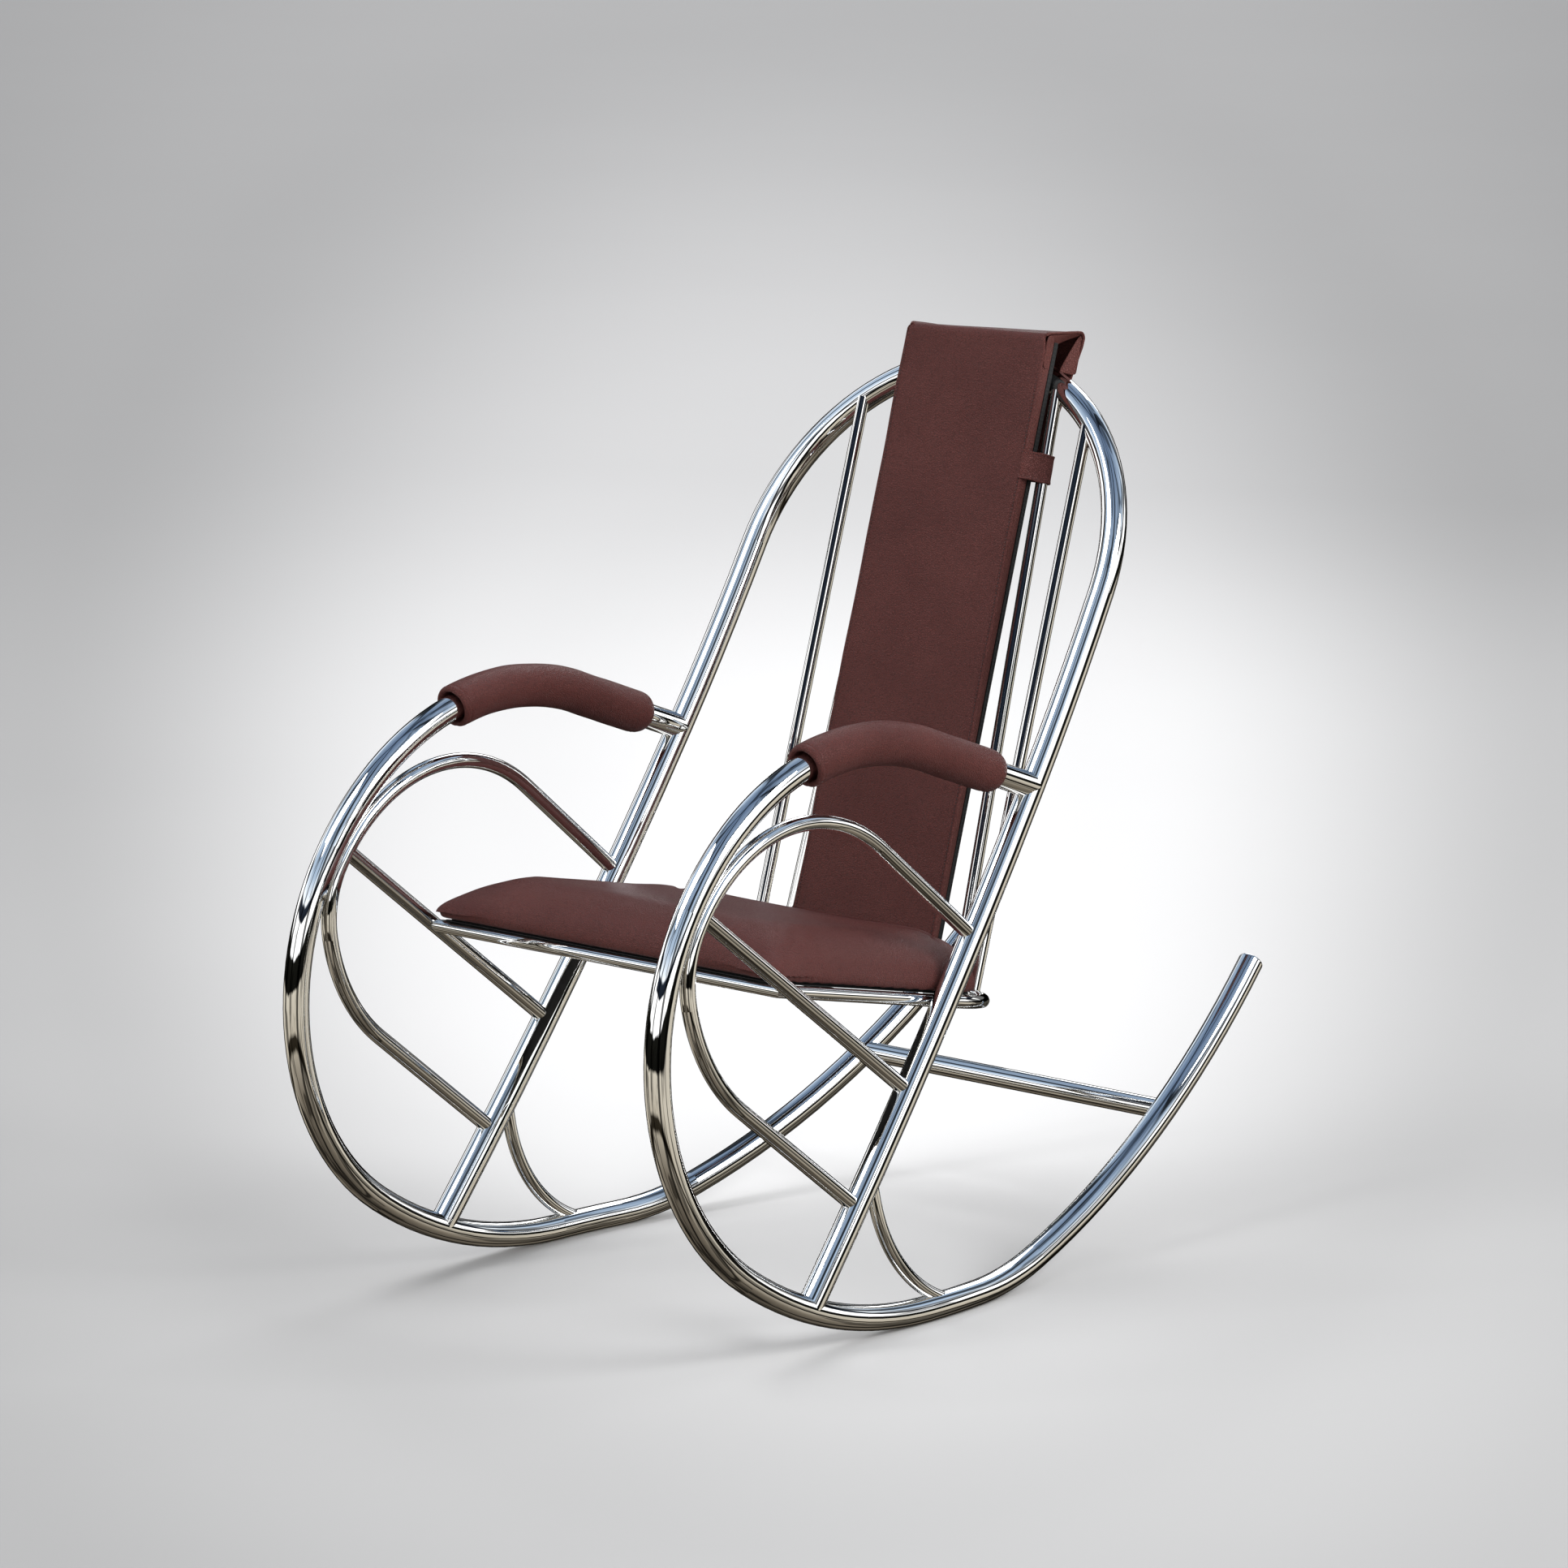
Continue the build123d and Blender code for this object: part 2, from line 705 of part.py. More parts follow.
# Strap round the inner slat, from the side of the pad to its rear
slat_inner_foot = ring_point(inner_slat_foot_spread)
slat_inner_top = arch_point(inner_slat_top_spread) - Vector(0, slat_front_set, 0)
slat_up = (slat_inner_top - slat_inner_foot).normalized()
strap_low = slat_inner_top - slat_up * (strap_drop + strap_height / 2)
strap_plane = Plane(origin=strap_low, x_dir=(1, 0, 0), z_dir=slat_up)
strap_bore = slat_diameter / 2 + strap_gap
pad_depth = board_front + soft_gap + back_foam_height
with BuildPart() as pad_space:
    with BuildSketch(back_section(back_foot)):
        with Locations((0, -soft_gap)):
            Rectangle(
                2 * (back_half_width + soft_gap),
                pad_depth + 2 * soft_gap,
                align=(Align.CENTER, Align.MIN),
            )
    extrude(amount=back_top - back_foot)
strap_side_x = back_half_width - strap_low.X
with BuildPart() as strap_left:
    with BuildSketch(strap_plane):
        Circle(strap_bore + strap_thickness)
        with Locations((strap_side_x, 0)):
            Rectangle(
                2 * strap_thickness,
                pad_depth,
                align=(Align.MIN, Align.MAX),
            )
        Circle(strap_bore, mode=Mode.SUBTRACT)
    extrude(amount=strap_height)
    add(pad_space, mode=Mode.SUBTRACT)

# Arm pads: foam sleeves with covers, on the arm bend and the straight behind it


def arm_pad_path(side, inset):
    """Stretch of an arm under its pad, shorter by the inset at each end."""
    bend = arm_edges(side)[2]
    arc_length = arm_bend_radius * radians(arm_bend_angle)
    start_share = arm_pad_start_share + inset / arc_length
    tail = (bend % 1) * (arm_straight * arm_pad_straight_share - inset)
    with BuildLine() as stretch:
        add(bend.trim(start_share, 1))
        Line(bend @ 1, bend @ 1 + tail)
    return stretch.wire()


def rounded_end(point, heading, radius, rounding):
    """Disc with a rounded rim that closes an arm pad at a point."""
    radial = Vector(1, 0, 0).cross(heading).normalized()
    with BuildPart() as disc:
        with BuildSketch(Plane(origin=point, x_dir=radial, z_dir=radial.cross(heading))):
            with BuildLine():
                rim = CenterArc((radius - rounding, 0), rounding, 0, 90)
                Polyline(rim @ 1, (0, rounding), (0, 0), (radius, 0))
            make_face()
        revolve(axis=Axis(point, heading))
    return disc.part


def arm_block(side, inset):
    """Solid sausage of an arm pad, drawn in on all sides by the inset."""
    rounding = arm_pad_rounding - inset
    path = arm_pad_path(side, inset + rounding)
    radius = arm_pad_diameter / 2 - inset
    with BuildPart() as block:
        add(swept_rod(path, arm_pad_diameter, -inset))
        add(rounded_end(path @ 0, (path % 0) * -1, radius, rounding))
        add(rounded_end(path @ 1, path % 1, radius, rounding))
    return block.part


def arm_layer(side, outer_inset, inner_inset):
    """Sleeve between two insets of an arm pad, or down to the tube for no inner one."""
    with BuildLine() as arm_core:
        for edge in arm_edges(side)[2:]:
            add(edge)
    with BuildPart() as layer:
        add(arm_block(side, outer_inset))
        if inner_inset:
            add(arm_block(side, inner_inset), mode=Mode.SUBTRACT)
        bore = swept_rod(arm_core.wire(), rocker_diameter, arm_pad_bore_gap)
        add(bore, mode=Mode.SUBTRACT)
    return layer.part


# Every piece under its own name, the side ones in pairs
pieces = {
    "back_hoop": back_hoop,
    "rear_crossbar": rear_crossbar,
    "seat_frame_front": seat_frame_front.part,
    "seat_frame_ring": seat_frame_ring.part,
    "seat_tabs": seat_tabs.part,
    "seat_screws": seat_screws.part,
    "seat_lining": seat_lining.part,
    "seat_board": seat_board.part,
    "seat_foam": seat_foam,
    "seat_cover": seat_cover.part,
    "back_lining": back_lining,
    "back_board": back_board,
    "back_foam": back_foam,
    "back_cover": back_cover.part,
    "back_hood": back_hood.part,
    "hoop_wrap": hoop_wrap.part,
}
paired_pieces = {
    "rocker_tube": rocker_tube_left,
    "rocker_end_cap": end_cap.part,
    "side_loop": side_loop_left,
    "seat_strut": strut_left,
    "rear_brace": brace_left,
    "slat_outer": slat_outer_left,
    "slat_inner": slat_inner_left,
    "strap": strap_left.part,
}
for name, piece in paired_pieces.items():
    pieces[name + "_left"] = piece
    pieces[name + "_right"] = mirrored(piece)
for side, name in ((1, "left"), (-1, "right")):
    pieces["arm_foam_" + name] = arm_layer(side, cover_thickness + soft_gap, 0)
    pieces["arm_cover_" + name] = arm_layer(side, 0, cover_thickness)

# The origin goes to the middle of the outline on the floor
boxes = [piece.bounding_box() for piece in pieces.values()]
middle_y = (min(box.min.Y for box in boxes) + max(box.max.Y for box in boxes)) / 2
floor_z = min(box.min.Z for box in boxes)
print("moved back by", -middle_y, "and up by", -floor_z)

# Rough densities in kilograms per cubic millimetre, to find the point of balance
steel = 7.85e-6
leatherette = 0.9e-6
plywood = 0.6e-6
padding = 0.3e-6


def density(name):
    """Density of a piece by the word in its name."""
    if "foam" in name or "lining" in name:
        return padding
    if "board" in name:
        return plywood
    if "cover" in name or "hood" in name or "wrap" in name or "strap" in name:
        return leatherette
    return steel


masses = {name: piece.volume * density(name) for name, piece in pieces.items()}
mass = sum(masses.values())
balance_y = sum(masses[name] * pieces[name].center().Y for name in pieces) / mass
balance_z = sum(masses[name] * pieces[name].center().Z for name in pieces) / mass
print("mass", mass, "balance at", balance_y, balance_z)
print("resting stretch from", rest_front_y, "to", (rest_bend @ 1).Y)

for name, piece in pieces.items():
    placed = piece.moved(Location((0, -middle_y, -floor_z)))
    placed.label = name
    export_step(placed, "parts/" + name + ".step")
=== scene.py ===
import math
import random

import bmesh
import bpy
from mathutils import Matrix, Vector, noise


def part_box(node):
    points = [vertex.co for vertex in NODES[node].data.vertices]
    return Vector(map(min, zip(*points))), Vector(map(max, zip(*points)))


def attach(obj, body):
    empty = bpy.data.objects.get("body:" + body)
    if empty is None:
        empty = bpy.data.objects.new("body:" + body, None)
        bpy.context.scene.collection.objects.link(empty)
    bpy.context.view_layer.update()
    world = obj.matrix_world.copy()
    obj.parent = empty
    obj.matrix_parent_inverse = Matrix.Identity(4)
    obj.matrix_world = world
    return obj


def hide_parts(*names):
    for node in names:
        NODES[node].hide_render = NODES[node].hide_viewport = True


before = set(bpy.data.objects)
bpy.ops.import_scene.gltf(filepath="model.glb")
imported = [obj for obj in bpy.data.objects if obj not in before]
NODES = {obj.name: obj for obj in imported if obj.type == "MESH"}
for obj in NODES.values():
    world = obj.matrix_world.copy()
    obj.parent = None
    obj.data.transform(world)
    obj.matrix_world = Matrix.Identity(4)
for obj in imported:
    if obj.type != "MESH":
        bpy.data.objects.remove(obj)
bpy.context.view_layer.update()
MM = 0.001

# Sizes in metres that the looks share with the solids
SEAT_SLOPE = math.radians(11.6)
BACK_TILT = math.radians(16.73)
SIDE_SPREAD = 0.303
SIDE_CAMBER = math.radians(1.45)
REST_FRONT_Y = -0.12444
TUBE_RADIUS = 0.015875
SLAT_RADIUS = 0.0075
LOWER_BEND = (0.5747, 33.2)
FRONT_BEND = (0.3181, 91.7)
ARM_BEND = (0.3612, 75.4)
ARM_STRAIGHT = 0.2017
ARM_PAD_START = 0.535
ARM_PAD_STRAIGHT = 0.64
ARM_PAD_RADIUS = 0.0265
LINING = 0.0008
SEAT_HALF_WIDTH = 0.277
SEAT_FRONT = -0.013
SEAT_REAR = 0.426
SEAT_FLOOR = 0.0187
SEAT_HEIGHT = 0.0545
SEAT_LIP = -0.0086
SEAT_REACH = 0.092
BOARD_INSET = 0.010
BACK_HALF_WIDTH = 0.1125
PAD_FLOOR = 0.0079
PAD_HEIGHT = 0.0178
PANEL_OUT = PAD_FLOOR + PAD_HEIGHT + 0.0003
STITCH_INSET = 0.0040

# Camera of the photograph
CAMERA_TARGET = Vector((0.0, -0.04004, 0.6026))
CAMERA_AZIMUTH = math.radians(42.0)
CAMERA_ELEVATION = math.radians(11.02)
CAMERA_DISTANCE = 10.215
CAMERA_LENS = 193.7
CAMERA_SENSOR = 36.0


class Tree:
    """Short way to write a shader's nodes."""

    def __init__(self, owner):
        owner.use_nodes = True
        self.nodes = owner.node_tree.nodes
        self.links = owner.node_tree.links
        self.nodes.clear()

    def add(self, kind, links=None, **values):
        """New node with settings, socket values by name or number, and links into its sockets."""
        node = self.nodes.new("ShaderNode" + kind)
        for key, value in values.items():
            if hasattr(node, key):
                setattr(node, key, value)
            else:
                node.inputs[key.replace("_", " ")].default_value = value
        for key, source in (links or {}).items():
            self.links.new(source, node.inputs[key])
        return node

    def ramp(self, source, stops, mode="LINEAR"):
        """Colour ramp from a list of (place, colour or grey)."""
        node = self.add("ValToRGB", {0: source})
        node.color_ramp.interpolation = mode
        elements = node.color_ramp.elements
        while len(elements) < len(stops):
            elements.new(0.5)
        for element, (place, colour) in zip(elements, stops):
            element.position = place
            if isinstance(colour, (int, float)):
                colour = (colour, colour, colour)
            element.color = (*colour, 1)
        return node.outputs["Color"]

    def math(self, operation, a, b=0.0):
        """Sum, product or the like of two sockets or numbers."""
        node = self.add("Math", operation=operation)
        for number, value in enumerate((a, b)):
            if isinstance(value, (int, float)):
                node.inputs[number].default_value = value
            else:
                self.links.new(value, node.inputs[number])
        return node.outputs[0]

    def mix(self, share, a, b, blend="MIX"):
        """Mix of two colours, given as sockets or as colours."""
        node = self.add("Mix", data_type="RGBA", blend_type=blend)
        for socket, value in ((node.inputs[0], share), (node.inputs[6], a), (node.inputs[7], b)):
            if isinstance(value, (int, float)):
                socket.default_value = value
            elif isinstance(value, tuple):
                socket.default_value = (*value, 1)
            else:
                self.links.new(value, socket)
        return node.outputs[2]


def principled(name):
    """New material with a Principled shader, its tree, and the object's own coordinates."""
    material = bpy.data.materials.new(name)
    tree = Tree(material)
    shader = tree.add("BsdfPrincipled")
    tree.add("OutputMaterial", {"Surface": shader.outputs[0]})
    place = tree.add("TexCoord").outputs["Object"]
    return material, tree, shader, place


def steel_material(name, base, low, high, wave):
    """Polished steel: faint cloudiness, fine polishing marks and a slightly uneven tube wall."""
    material, tree, shader, place = principled(name)
    shader.inputs["Metallic"].default_value = 1.0
    cloud = tree.add("TexNoise", {"Vector": place}, Scale=14.0, Detail=4.0).outputs[0]
    tint = tree.ramp(cloud, [(0.3, tuple(0.94 * c for c in base)), (0.7, base)])
    tree.links.new(tint, shader.inputs["Base Color"])
    marks = tree.add("TexNoise", {"Vector": place}, Scale=900.0, Detail=6.0, Roughness=0.7).outputs[0]
    both = tree.math("ADD", tree.math("MULTIPLY", cloud, 0.6), tree.math("MULTIPLY", marks, 0.4))
    rough = tree.ramp(both, [(0.3, low), (0.75, high)])
    tree.links.new(rough, shader.inputs["Roughness"])
    swell = tree.add("TexNoise", {"Vector": place}, Scale=26.0, Detail=1.0).outputs[0]
    broad = tree.add("Bump", {"Height": swell}, Strength=wave, Distance=0.0004)
    fine = tree.add("Bump", {"Height": marks, "Normal": broad.outputs[0]}, Strength=0.03, Distance=0.00005)
    tree.links.new(fine.outputs[0], shader.inputs["Normal"])
    return material


def leatherette_material(name, dark, light, grain):
    """Leatherette: embossed grain of small irregular cells with creases between them, the creases darkened in
    the colour as painted shade.
    """
    material, tree, shader, place = principled(name)
    warp = tree.add("TexNoise", {"Vector": place}, Scale=160.0, Detail=3.0).outputs["Color"]
    shift = tree.add("VectorMath", {0: warp}, operation="SCALE", Scale=0.0035).outputs[0]
    bent = tree.add("VectorMath", {0: place, 1: shift}, operation="ADD").outputs[0]
    cells = tree.add("TexVoronoi", {"Vector": bent}, feature="DISTANCE_TO_EDGE", Scale=grain).outputs[0]
    crease = tree.ramp(cells, [(0.0, 0.0), (0.16, 0.75), (0.5, 1.0)])
    pores = tree.add("TexNoise", {"Vector": place}, Scale=2600.0, Detail=3.0).outputs[0]
    cloud = tree.add("TexNoise", {"Vector": place}, Scale=11.0, Detail=5.0, Roughness=0.6).outputs[0]
    base = tree.ramp(cloud, [(0.25, dark), (0.75, light)])
    # Painted shade: the base colour is darkened towards a near-black brown in the grain's creases
    depth = tree.math("MULTIPLY", tree.math("SUBTRACT", 1.0, crease), 0.62)
    crease_shaded_colour = tree.mix(depth, base, (0.016, 0.006, 0.005))
    tree.links.new(crease_shaded_colour, shader.inputs["Base Color"])
    gloss = tree.math("ADD", tree.math("MULTIPLY", crease, 0.35), tree.math("MULTIPLY", pores, 0.65))
    rough = tree.ramp(gloss, [(0.25, 0.52), (0.85, 0.36)])
    tree.links.new(rough, shader.inputs["Roughness"])
    shader.inputs["Specular IOR Level"].default_value = 0.15
    wrinkle = tree.add("TexNoise", {"Vector": place}, Scale=150.0, Detail=4.0, Distortion=1.2).outputs[0]
    soft = tree.add("Bump", {"Height": wrinkle}, Strength=0.22, Distance=0.0010)
    first = tree.add("Bump", {"Height": crease, "Normal": soft.outputs[0]}, Strength=0.85, Distance=0.0006)
    second = tree.add("Bump", {"Height": pores, "Normal": first.outputs[0]}, Strength=0.14, Distance=0.00012)
    tree.links.new(second.outputs[0], shader.inputs["Normal"])
    return material


def woven_material(name, dark, light, pitch):
    """Closely woven lining: crossing threads and a little nap."""
    material, tree, shader, place = principled(name)
    turned = tree.add("Mapping", {"Vector": place}, Rotation=(0.3, 0.2, 0.0)).outputs[0]
    warp = tree.add("TexWave", {"Vector": turned}, bands_direction="X", Scale=pitch, Distortion=0.4)
    weft = tree.add("TexWave", {"Vector": turned}, bands_direction="Z", Scale=pitch, Distortion=0.4)
    cross = tree.math("MAXIMUM", warp.outputs["Fac"], weft.outputs["Fac"])
    nap = tree.add("TexNoise", {"Vector": place}, Scale=700.0, Detail=5.0).outputs[0]
    tree.links.new(tree.ramp(tree.math("MULTIPLY", cross, nap), [(0.1, dark), (0.6, light)]), shader.inputs["Base Color"])
    tree.links.new(tree.ramp(nap, [(0.3, 0.95), (0.7, 0.78)]), shader.inputs["Roughness"])
    bump = tree.add("Bump", {"Height": cross}, Strength=0.4, Distance=0.0002)
    tree.links.new(bump.outputs[0], shader.inputs["Normal"])
    return material


def foam_material(name):
    """Open-celled foam."""
    material, tree, shader, place = principled(name)
    cells = tree.add("TexVoronoi", {"Vector": place}, Scale=900.0).outputs[0]
    tree.links.new(tree.ramp(cells, [(0.0, (0.35, 0.30, 0.18)), (0.6, (0.72, 0.66, 0.48))]), shader.inputs["Base Color"])
    tree.links.new(tree.ramp(cells, [(0.0, 1.0), (0.8, 0.85)]), shader.inputs["Roughness"])
    bump = tree.add("Bump", {"Height": cells}, Strength=0.6, Distance=0.0006)
    tree.links.new(bump.outputs[0], shader.inputs["Normal"])
    return material


def thread_material(name, dark, light):
    """Twisted sewing thread."""
    material, tree, shader, place = principled(name)
    twist = tree.add("TexWave", {"Vector": place}, bands_direction="DIAGONAL", Scale=700.0, Distortion=1.0).outputs["Fac"]
    tree.links.new(tree.ramp(twist, [(0.2, dark), (0.8, light)]), shader.inputs["Base Color"])
    tree.links.new(tree.ramp(twist, [(0.0, 0.6), (1.0, 0.45)]), shader.inputs["Roughness"])
    bump = tree.add("Bump", {"Height": twist}, Strength=0.3, Distance=0.0001)
    tree.links.new(bump.outputs[0], shader.inputs["Normal"])
    return material


STEEL = steel_material("polished_steel", (0.86, 0.86, 0.85), 0.012, 0.040, 0.05)
SCREW = steel_material("screw_steel", (0.55, 0.55, 0.56), 0.22, 0.38, 0.2)
LEATHERETTE = leatherette_material("leatherette", (0.096, 0.028, 0.0245), (0.128, 0.040, 0.035), 430.0)
# Lighter copy of the same leatherette for the back pad and the hood's hems, ears and gussets: painted light
LEATHERETTE_LIT = leatherette_material("leatherette_lit_copy", (0.110, 0.034, 0.029), (0.145, 0.048, 0.041), 430.0)
LINING_CLOTH = woven_material("black_lining", (0.004, 0.004, 0.004), (0.022, 0.022, 0.023), 420.0)
BOARD = woven_material("black_board", (0.003, 0.003, 0.003), (0.016, 0.016, 0.016), 300.0)
FOAM = foam_material("foam")
THREAD = thread_material("thread", (0.010, 0.003, 0.003), (0.045, 0.014, 0.012))


def piece(name, mesh, material, replaces=(), smooth=True):
    """Object of a mesh that rides on the chair's one body."""
    made = bpy.data.objects.new(name, mesh)
    bpy.context.scene.collection.objects.link(made)
    mesh.materials.clear()
    mesh.materials.append(material)
    if smooth:
        mesh.polygons.foreach_set("use_smooth", [True] * len(mesh.polygons))
    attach(made, "root")
    if replaces:
        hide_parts(*replaces)
    return made


def ladder(grid, row):
    """Faces across a long thin ring whose second half runs back along its first."""
    last = len(row) - 1
    for j in range(len(row) // 2 - 1):
        grid.faces.new((row[j], row[j + 1], row[last - 1 - j], row[last - j]))


def loft(name, rings, closed_ring=True, closed_loft=False, caps=True, thin=False):
    """Mesh through rings of equally many points."""
    mesh = bpy.data.meshes.new(name)
    grid = bmesh.new()
    rows = [[grid.verts.new(point) for point in ring] for ring in rings]
    count = len(rows[0])
    last = len(rows) if closed_loft else len(rows) - 1
    for i in range(last):
        lower, upper = rows[i], rows[(i + 1) % len(rows)]
        for j in range(count if closed_ring else count - 1):
            k = (j + 1) % count
            grid.faces.new((lower[j], lower[k], upper[k], upper[j]))
    if thin:
        ladder(grid, rows[0])
        ladder(grid, rows[-1])
    elif caps and closed_ring and not closed_loft:
        grid.faces.new(list(reversed(rows[0])))
        grid.faces.new(rows[-1])
    bmesh.ops.recalc_face_normals(grid, faces=grid.faces)
    grid.to_mesh(mesh)
    grid.free()
    return mesh


def panelled(name, rings, steps, sides, ends, lift):
    """Mesh through rings of a rounded rectangle, closed at both ends by a regular grid of faces."""
    mesh = bpy.data.meshes.new(name)
    grid = bmesh.new()
    rows = [[grid.verts.new(point) for point in ring] for ring in rings]
    count = len(rows[0])
    for lower, upper in zip(rows, rows[1:]):
        for j in range(count):
            k = (j + 1) % count
            grid.faces.new((lower[j], lower[k], upper[k], upper[j]))
    run = 2 * (steps + 1) + sides - 1
    for row, crown in ((rows[0], 0.0), (rows[-1], lift)):
        right = row[:run]
        top = row[run:run + ends - 1]
        left = list(reversed(row[run + ends - 1:2 * run + ends - 1]))
        bottom = list(reversed(row[2 * run + ends - 1:]))
        lines = [[right[0]] + bottom + [left[0]]]
        for j in range(1, run - 1):
            line = [right[j]]
            for i in range(1, ends):
                share = i / ends
                across = 4 * share * (1 - share) * math.sin(math.pi * j / (run - 1)) ** 0.5
                point = right[j].co.lerp(left[j].co, share) + BACK_OUT * crown * across
                line.append(grid.verts.new(point))
            lines.append(line + [left[j]])
        lines.append([right[-1]] + top + [left[-1]])
        for lower, upper in zip(lines, lines[1:]):
            for i in range(ends):
                grid.faces.new((lower[i], lower[i + 1], upper[i + 1], upper[i]))
    bmesh.ops.recalc_face_normals(grid, faces=grid.faces)
    grid.to_mesh(mesh)
    grid.free()
    return mesh


def joined(name, meshes):
    """One mesh of several."""
    grid = bmesh.new()
    for mesh in meshes:
        grid.from_mesh(mesh)
        bpy.data.meshes.remove(mesh)
    made = bpy.data.meshes.new(name)
    grid.to_mesh(made)
    grid.free()
    return made


def with_modifiers(mesh, *settings):
    """The mesh after a row of modifiers, each given as (kind, settings)."""
    carrier = bpy.data.objects.new("carrier", mesh)
    bpy.context.scene.collection.objects.link(carrier)
    for kind, values in settings:
        modifier = carrier.modifiers.new(kind, kind)
        for key, value in values.items():
            setattr(modifier, key, value)
    bpy.context.view_layer.update()
    depsgraph = bpy.context.evaluated_depsgraph_get()
    made = bpy.data.meshes.new_from_object(carrier.evaluated_get(depsgraph))
    bpy.data.objects.remove(carrier)
    return made


# Frames of the seat and of the back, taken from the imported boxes
front_low, front_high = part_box("seat_frame_front")
SEAT_ORIGIN = (front_low + front_high) / 2
SEAT_BACK = Vector((0, math.cos(SEAT_SLOPE), -math.sin(SEAT_SLOPE)))
SEAT_UP = Vector((0, math.sin(SEAT_SLOPE), math.cos(SEAT_SLOPE)))
lining_low, lining_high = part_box("back_lining")
BACK_UP = Vector((0, math.sin(BACK_TILT), math.cos(BACK_TILT)))
BACK_OUT = Vector((0, -math.cos(BACK_TILT), math.sin(BACK_TILT)))
BACK_ORIGIN = Vector((0, lining_low.y + LINING * math.cos(BACK_TILT), lining_low.z))
PAD_LENGTH = (Vector((0, lining_high.y, lining_high.z)) - BACK_ORIGIN).dot(BACK_UP)


def seat_point(x, back, up):
    """Point from its place across, behind and above the seat's front bar."""
    return SEAT_ORIGIN + Vector((x, 0, 0)) + SEAT_BACK * back + SEAT_UP * up


def back_point(x, up, out):
    """Point from its place across, up and out of the back pad's lining."""
    return BACK_ORIGIN + Vector((x, 0, 0)) + BACK_UP * up + BACK_OUT * out


def rounded_outline(half_width, low, high, low_radius, high_radius, draw, steps=12, sides=28, ends=28):
    """Points round a rectangle with rounded corners and sides drawn in between them."""
    corners = (
        (half_width, low, low_radius, -90),
        (half_width, high, high_radius, 0),
        (-half_width, high, high_radius, 90),
        (-half_width, low, low_radius, 180),
    )
    arcs = []
    for x, y, radius, start in corners:
        centre_x = x - math.copysign(radius, x)
        centre_y = y + radius if y == low else y - radius
        turns = [math.radians(start + 90 * i / steps) for i in range(steps + 1)]
        arcs.append([(centre_x + radius * math.cos(t), centre_y + radius * math.sin(t)) for t in turns])
    points = []
    for i, arc in enumerate(arcs):
        points.extend(arc)
        begin, end = arc[-1], arcs[(i + 1) % 4][0]
        cuts = sides if i % 2 == 0 else ends
        for step in range(1, cuts):
            share = step / cuts
            x = begin[0] + (end[0] - begin[0]) * share
            y = begin[1] + (end[1] - begin[1]) * share
            inward = draw * 4 * share * (1 - share)
            if abs(end[0] - begin[0]) > abs(end[1] - begin[1]):
                y += math.copysign(inward, (low + high) / 2 - y)
            else:
                x -= math.copysign(inward, x)
            points.append((x, y))
    return points


# Seat cushion


def seat_outline(inset):
    """Plan of the seat pad, drawn in by the inset."""
    front = max(0.016 - inset * 0.2, 0.004) + max(min(inset, 0.06), 0) * 0.5
    rear = max(0.118 - inset, 0.008)
    return rounded_outline(
        SEAT_HALF_WIDTH - inset, SEAT_FRONT + inset, SEAT_REAR - inset, front, rear, 0.003
    )


def seat_rings():
    """Rings of the cushion from the recess over its board, round its lip and up to its crown."""
    profile = [
        (0.030, 0.0),
        (BOARD_INSET, 0.0),
        (BOARD_INSET - 0.0006, SEAT_LIP + 0.0006),
        (0.0050, SEAT_LIP),
        (0.0014, SEAT_LIP + 0.0004),
    ]
    for i in range(1, 29):
        inset = SEAT_REACH * (i / 28) ** 1.7
        rise = (1 - (1 - inset / SEAT_REACH) ** 2.6) ** (1 / 2.2)
        bulge = 0.0035 * math.sin(math.pi * min(rise * 1.5, 1.0))
        profile.append((inset - bulge, SEAT_LIP + (SEAT_HEIGHT - SEAT_LIP) * rise))
    profile.append((0.150, SEAT_HEIGHT + 0.0010))
    profile.append((0.205, SEAT_HEIGHT + 0.0013))
    return [
        [seat_point(x, y, SEAT_FLOOR + up) for x, y in seat_outline(inset)]
        for inset, up in profile
    ]


def swell(mesh, pressure, cap, pinned, frames=20):
    """Cloth simulation of a closed mesh under pressure, with some points held and the travel capped."""
    carrier = bpy.data.objects.new("swelling", mesh)
    bpy.context.scene.collection.objects.link(carrier)
    rest = [vertex.co.copy() for vertex in mesh.vertices]
    group = carrier.vertex_groups.new(name="held")
    group.add([i for i, point in enumerate(rest) if pinned(point)], 1.0, "REPLACE")
    cloth = carrier.modifiers.new("Cloth", "CLOTH")
    cloth.settings.use_pressure = True
    cloth.settings.uniform_pressure_force = pressure
    cloth.settings.vertex_group_mass = "held"
    cloth.settings.quality = 6
    cloth.settings.mass = 0.35
    cloth.settings.tension_stiffness = 28
    cloth.settings.compression_stiffness = 28
    cloth.settings.bending_stiffness = 1.2
    cloth.settings.effector_weights.gravity = 0
    cloth.point_cache.frame_start = 1
    cloth.point_cache.frame_end = frames
    for number in range(1, frames + 1):
        bpy.context.scene.frame_set(number)
    depsgraph = bpy.context.evaluated_depsgraph_get()
    made = bpy.data.meshes.new_from_object(carrier.evaluated_get(depsgraph))
    for vertex, start in zip(made.vertices, rest):
        move = vertex.co - start
        if move.length > cap:
            vertex.co = start + move * (cap / move.length)
    bpy.data.objects.remove(carrier)
    bpy.context.scene.frame_set(1)
    return made


def seat_local(point):
    """Place across, behind and above the seat's front bar, of a point."""
    offset = point - SEAT_ORIGIN
    return offset.x, offset.dot(SEAT_BACK), offset.dot(SEAT_UP)


def back_local(point):
    """Place across, up and out of the back pad's lining, of a point."""
    offset = point - BACK_ORIGIN
    return offset.x, offset.dot(BACK_UP), offset.dot(BACK_OUT)


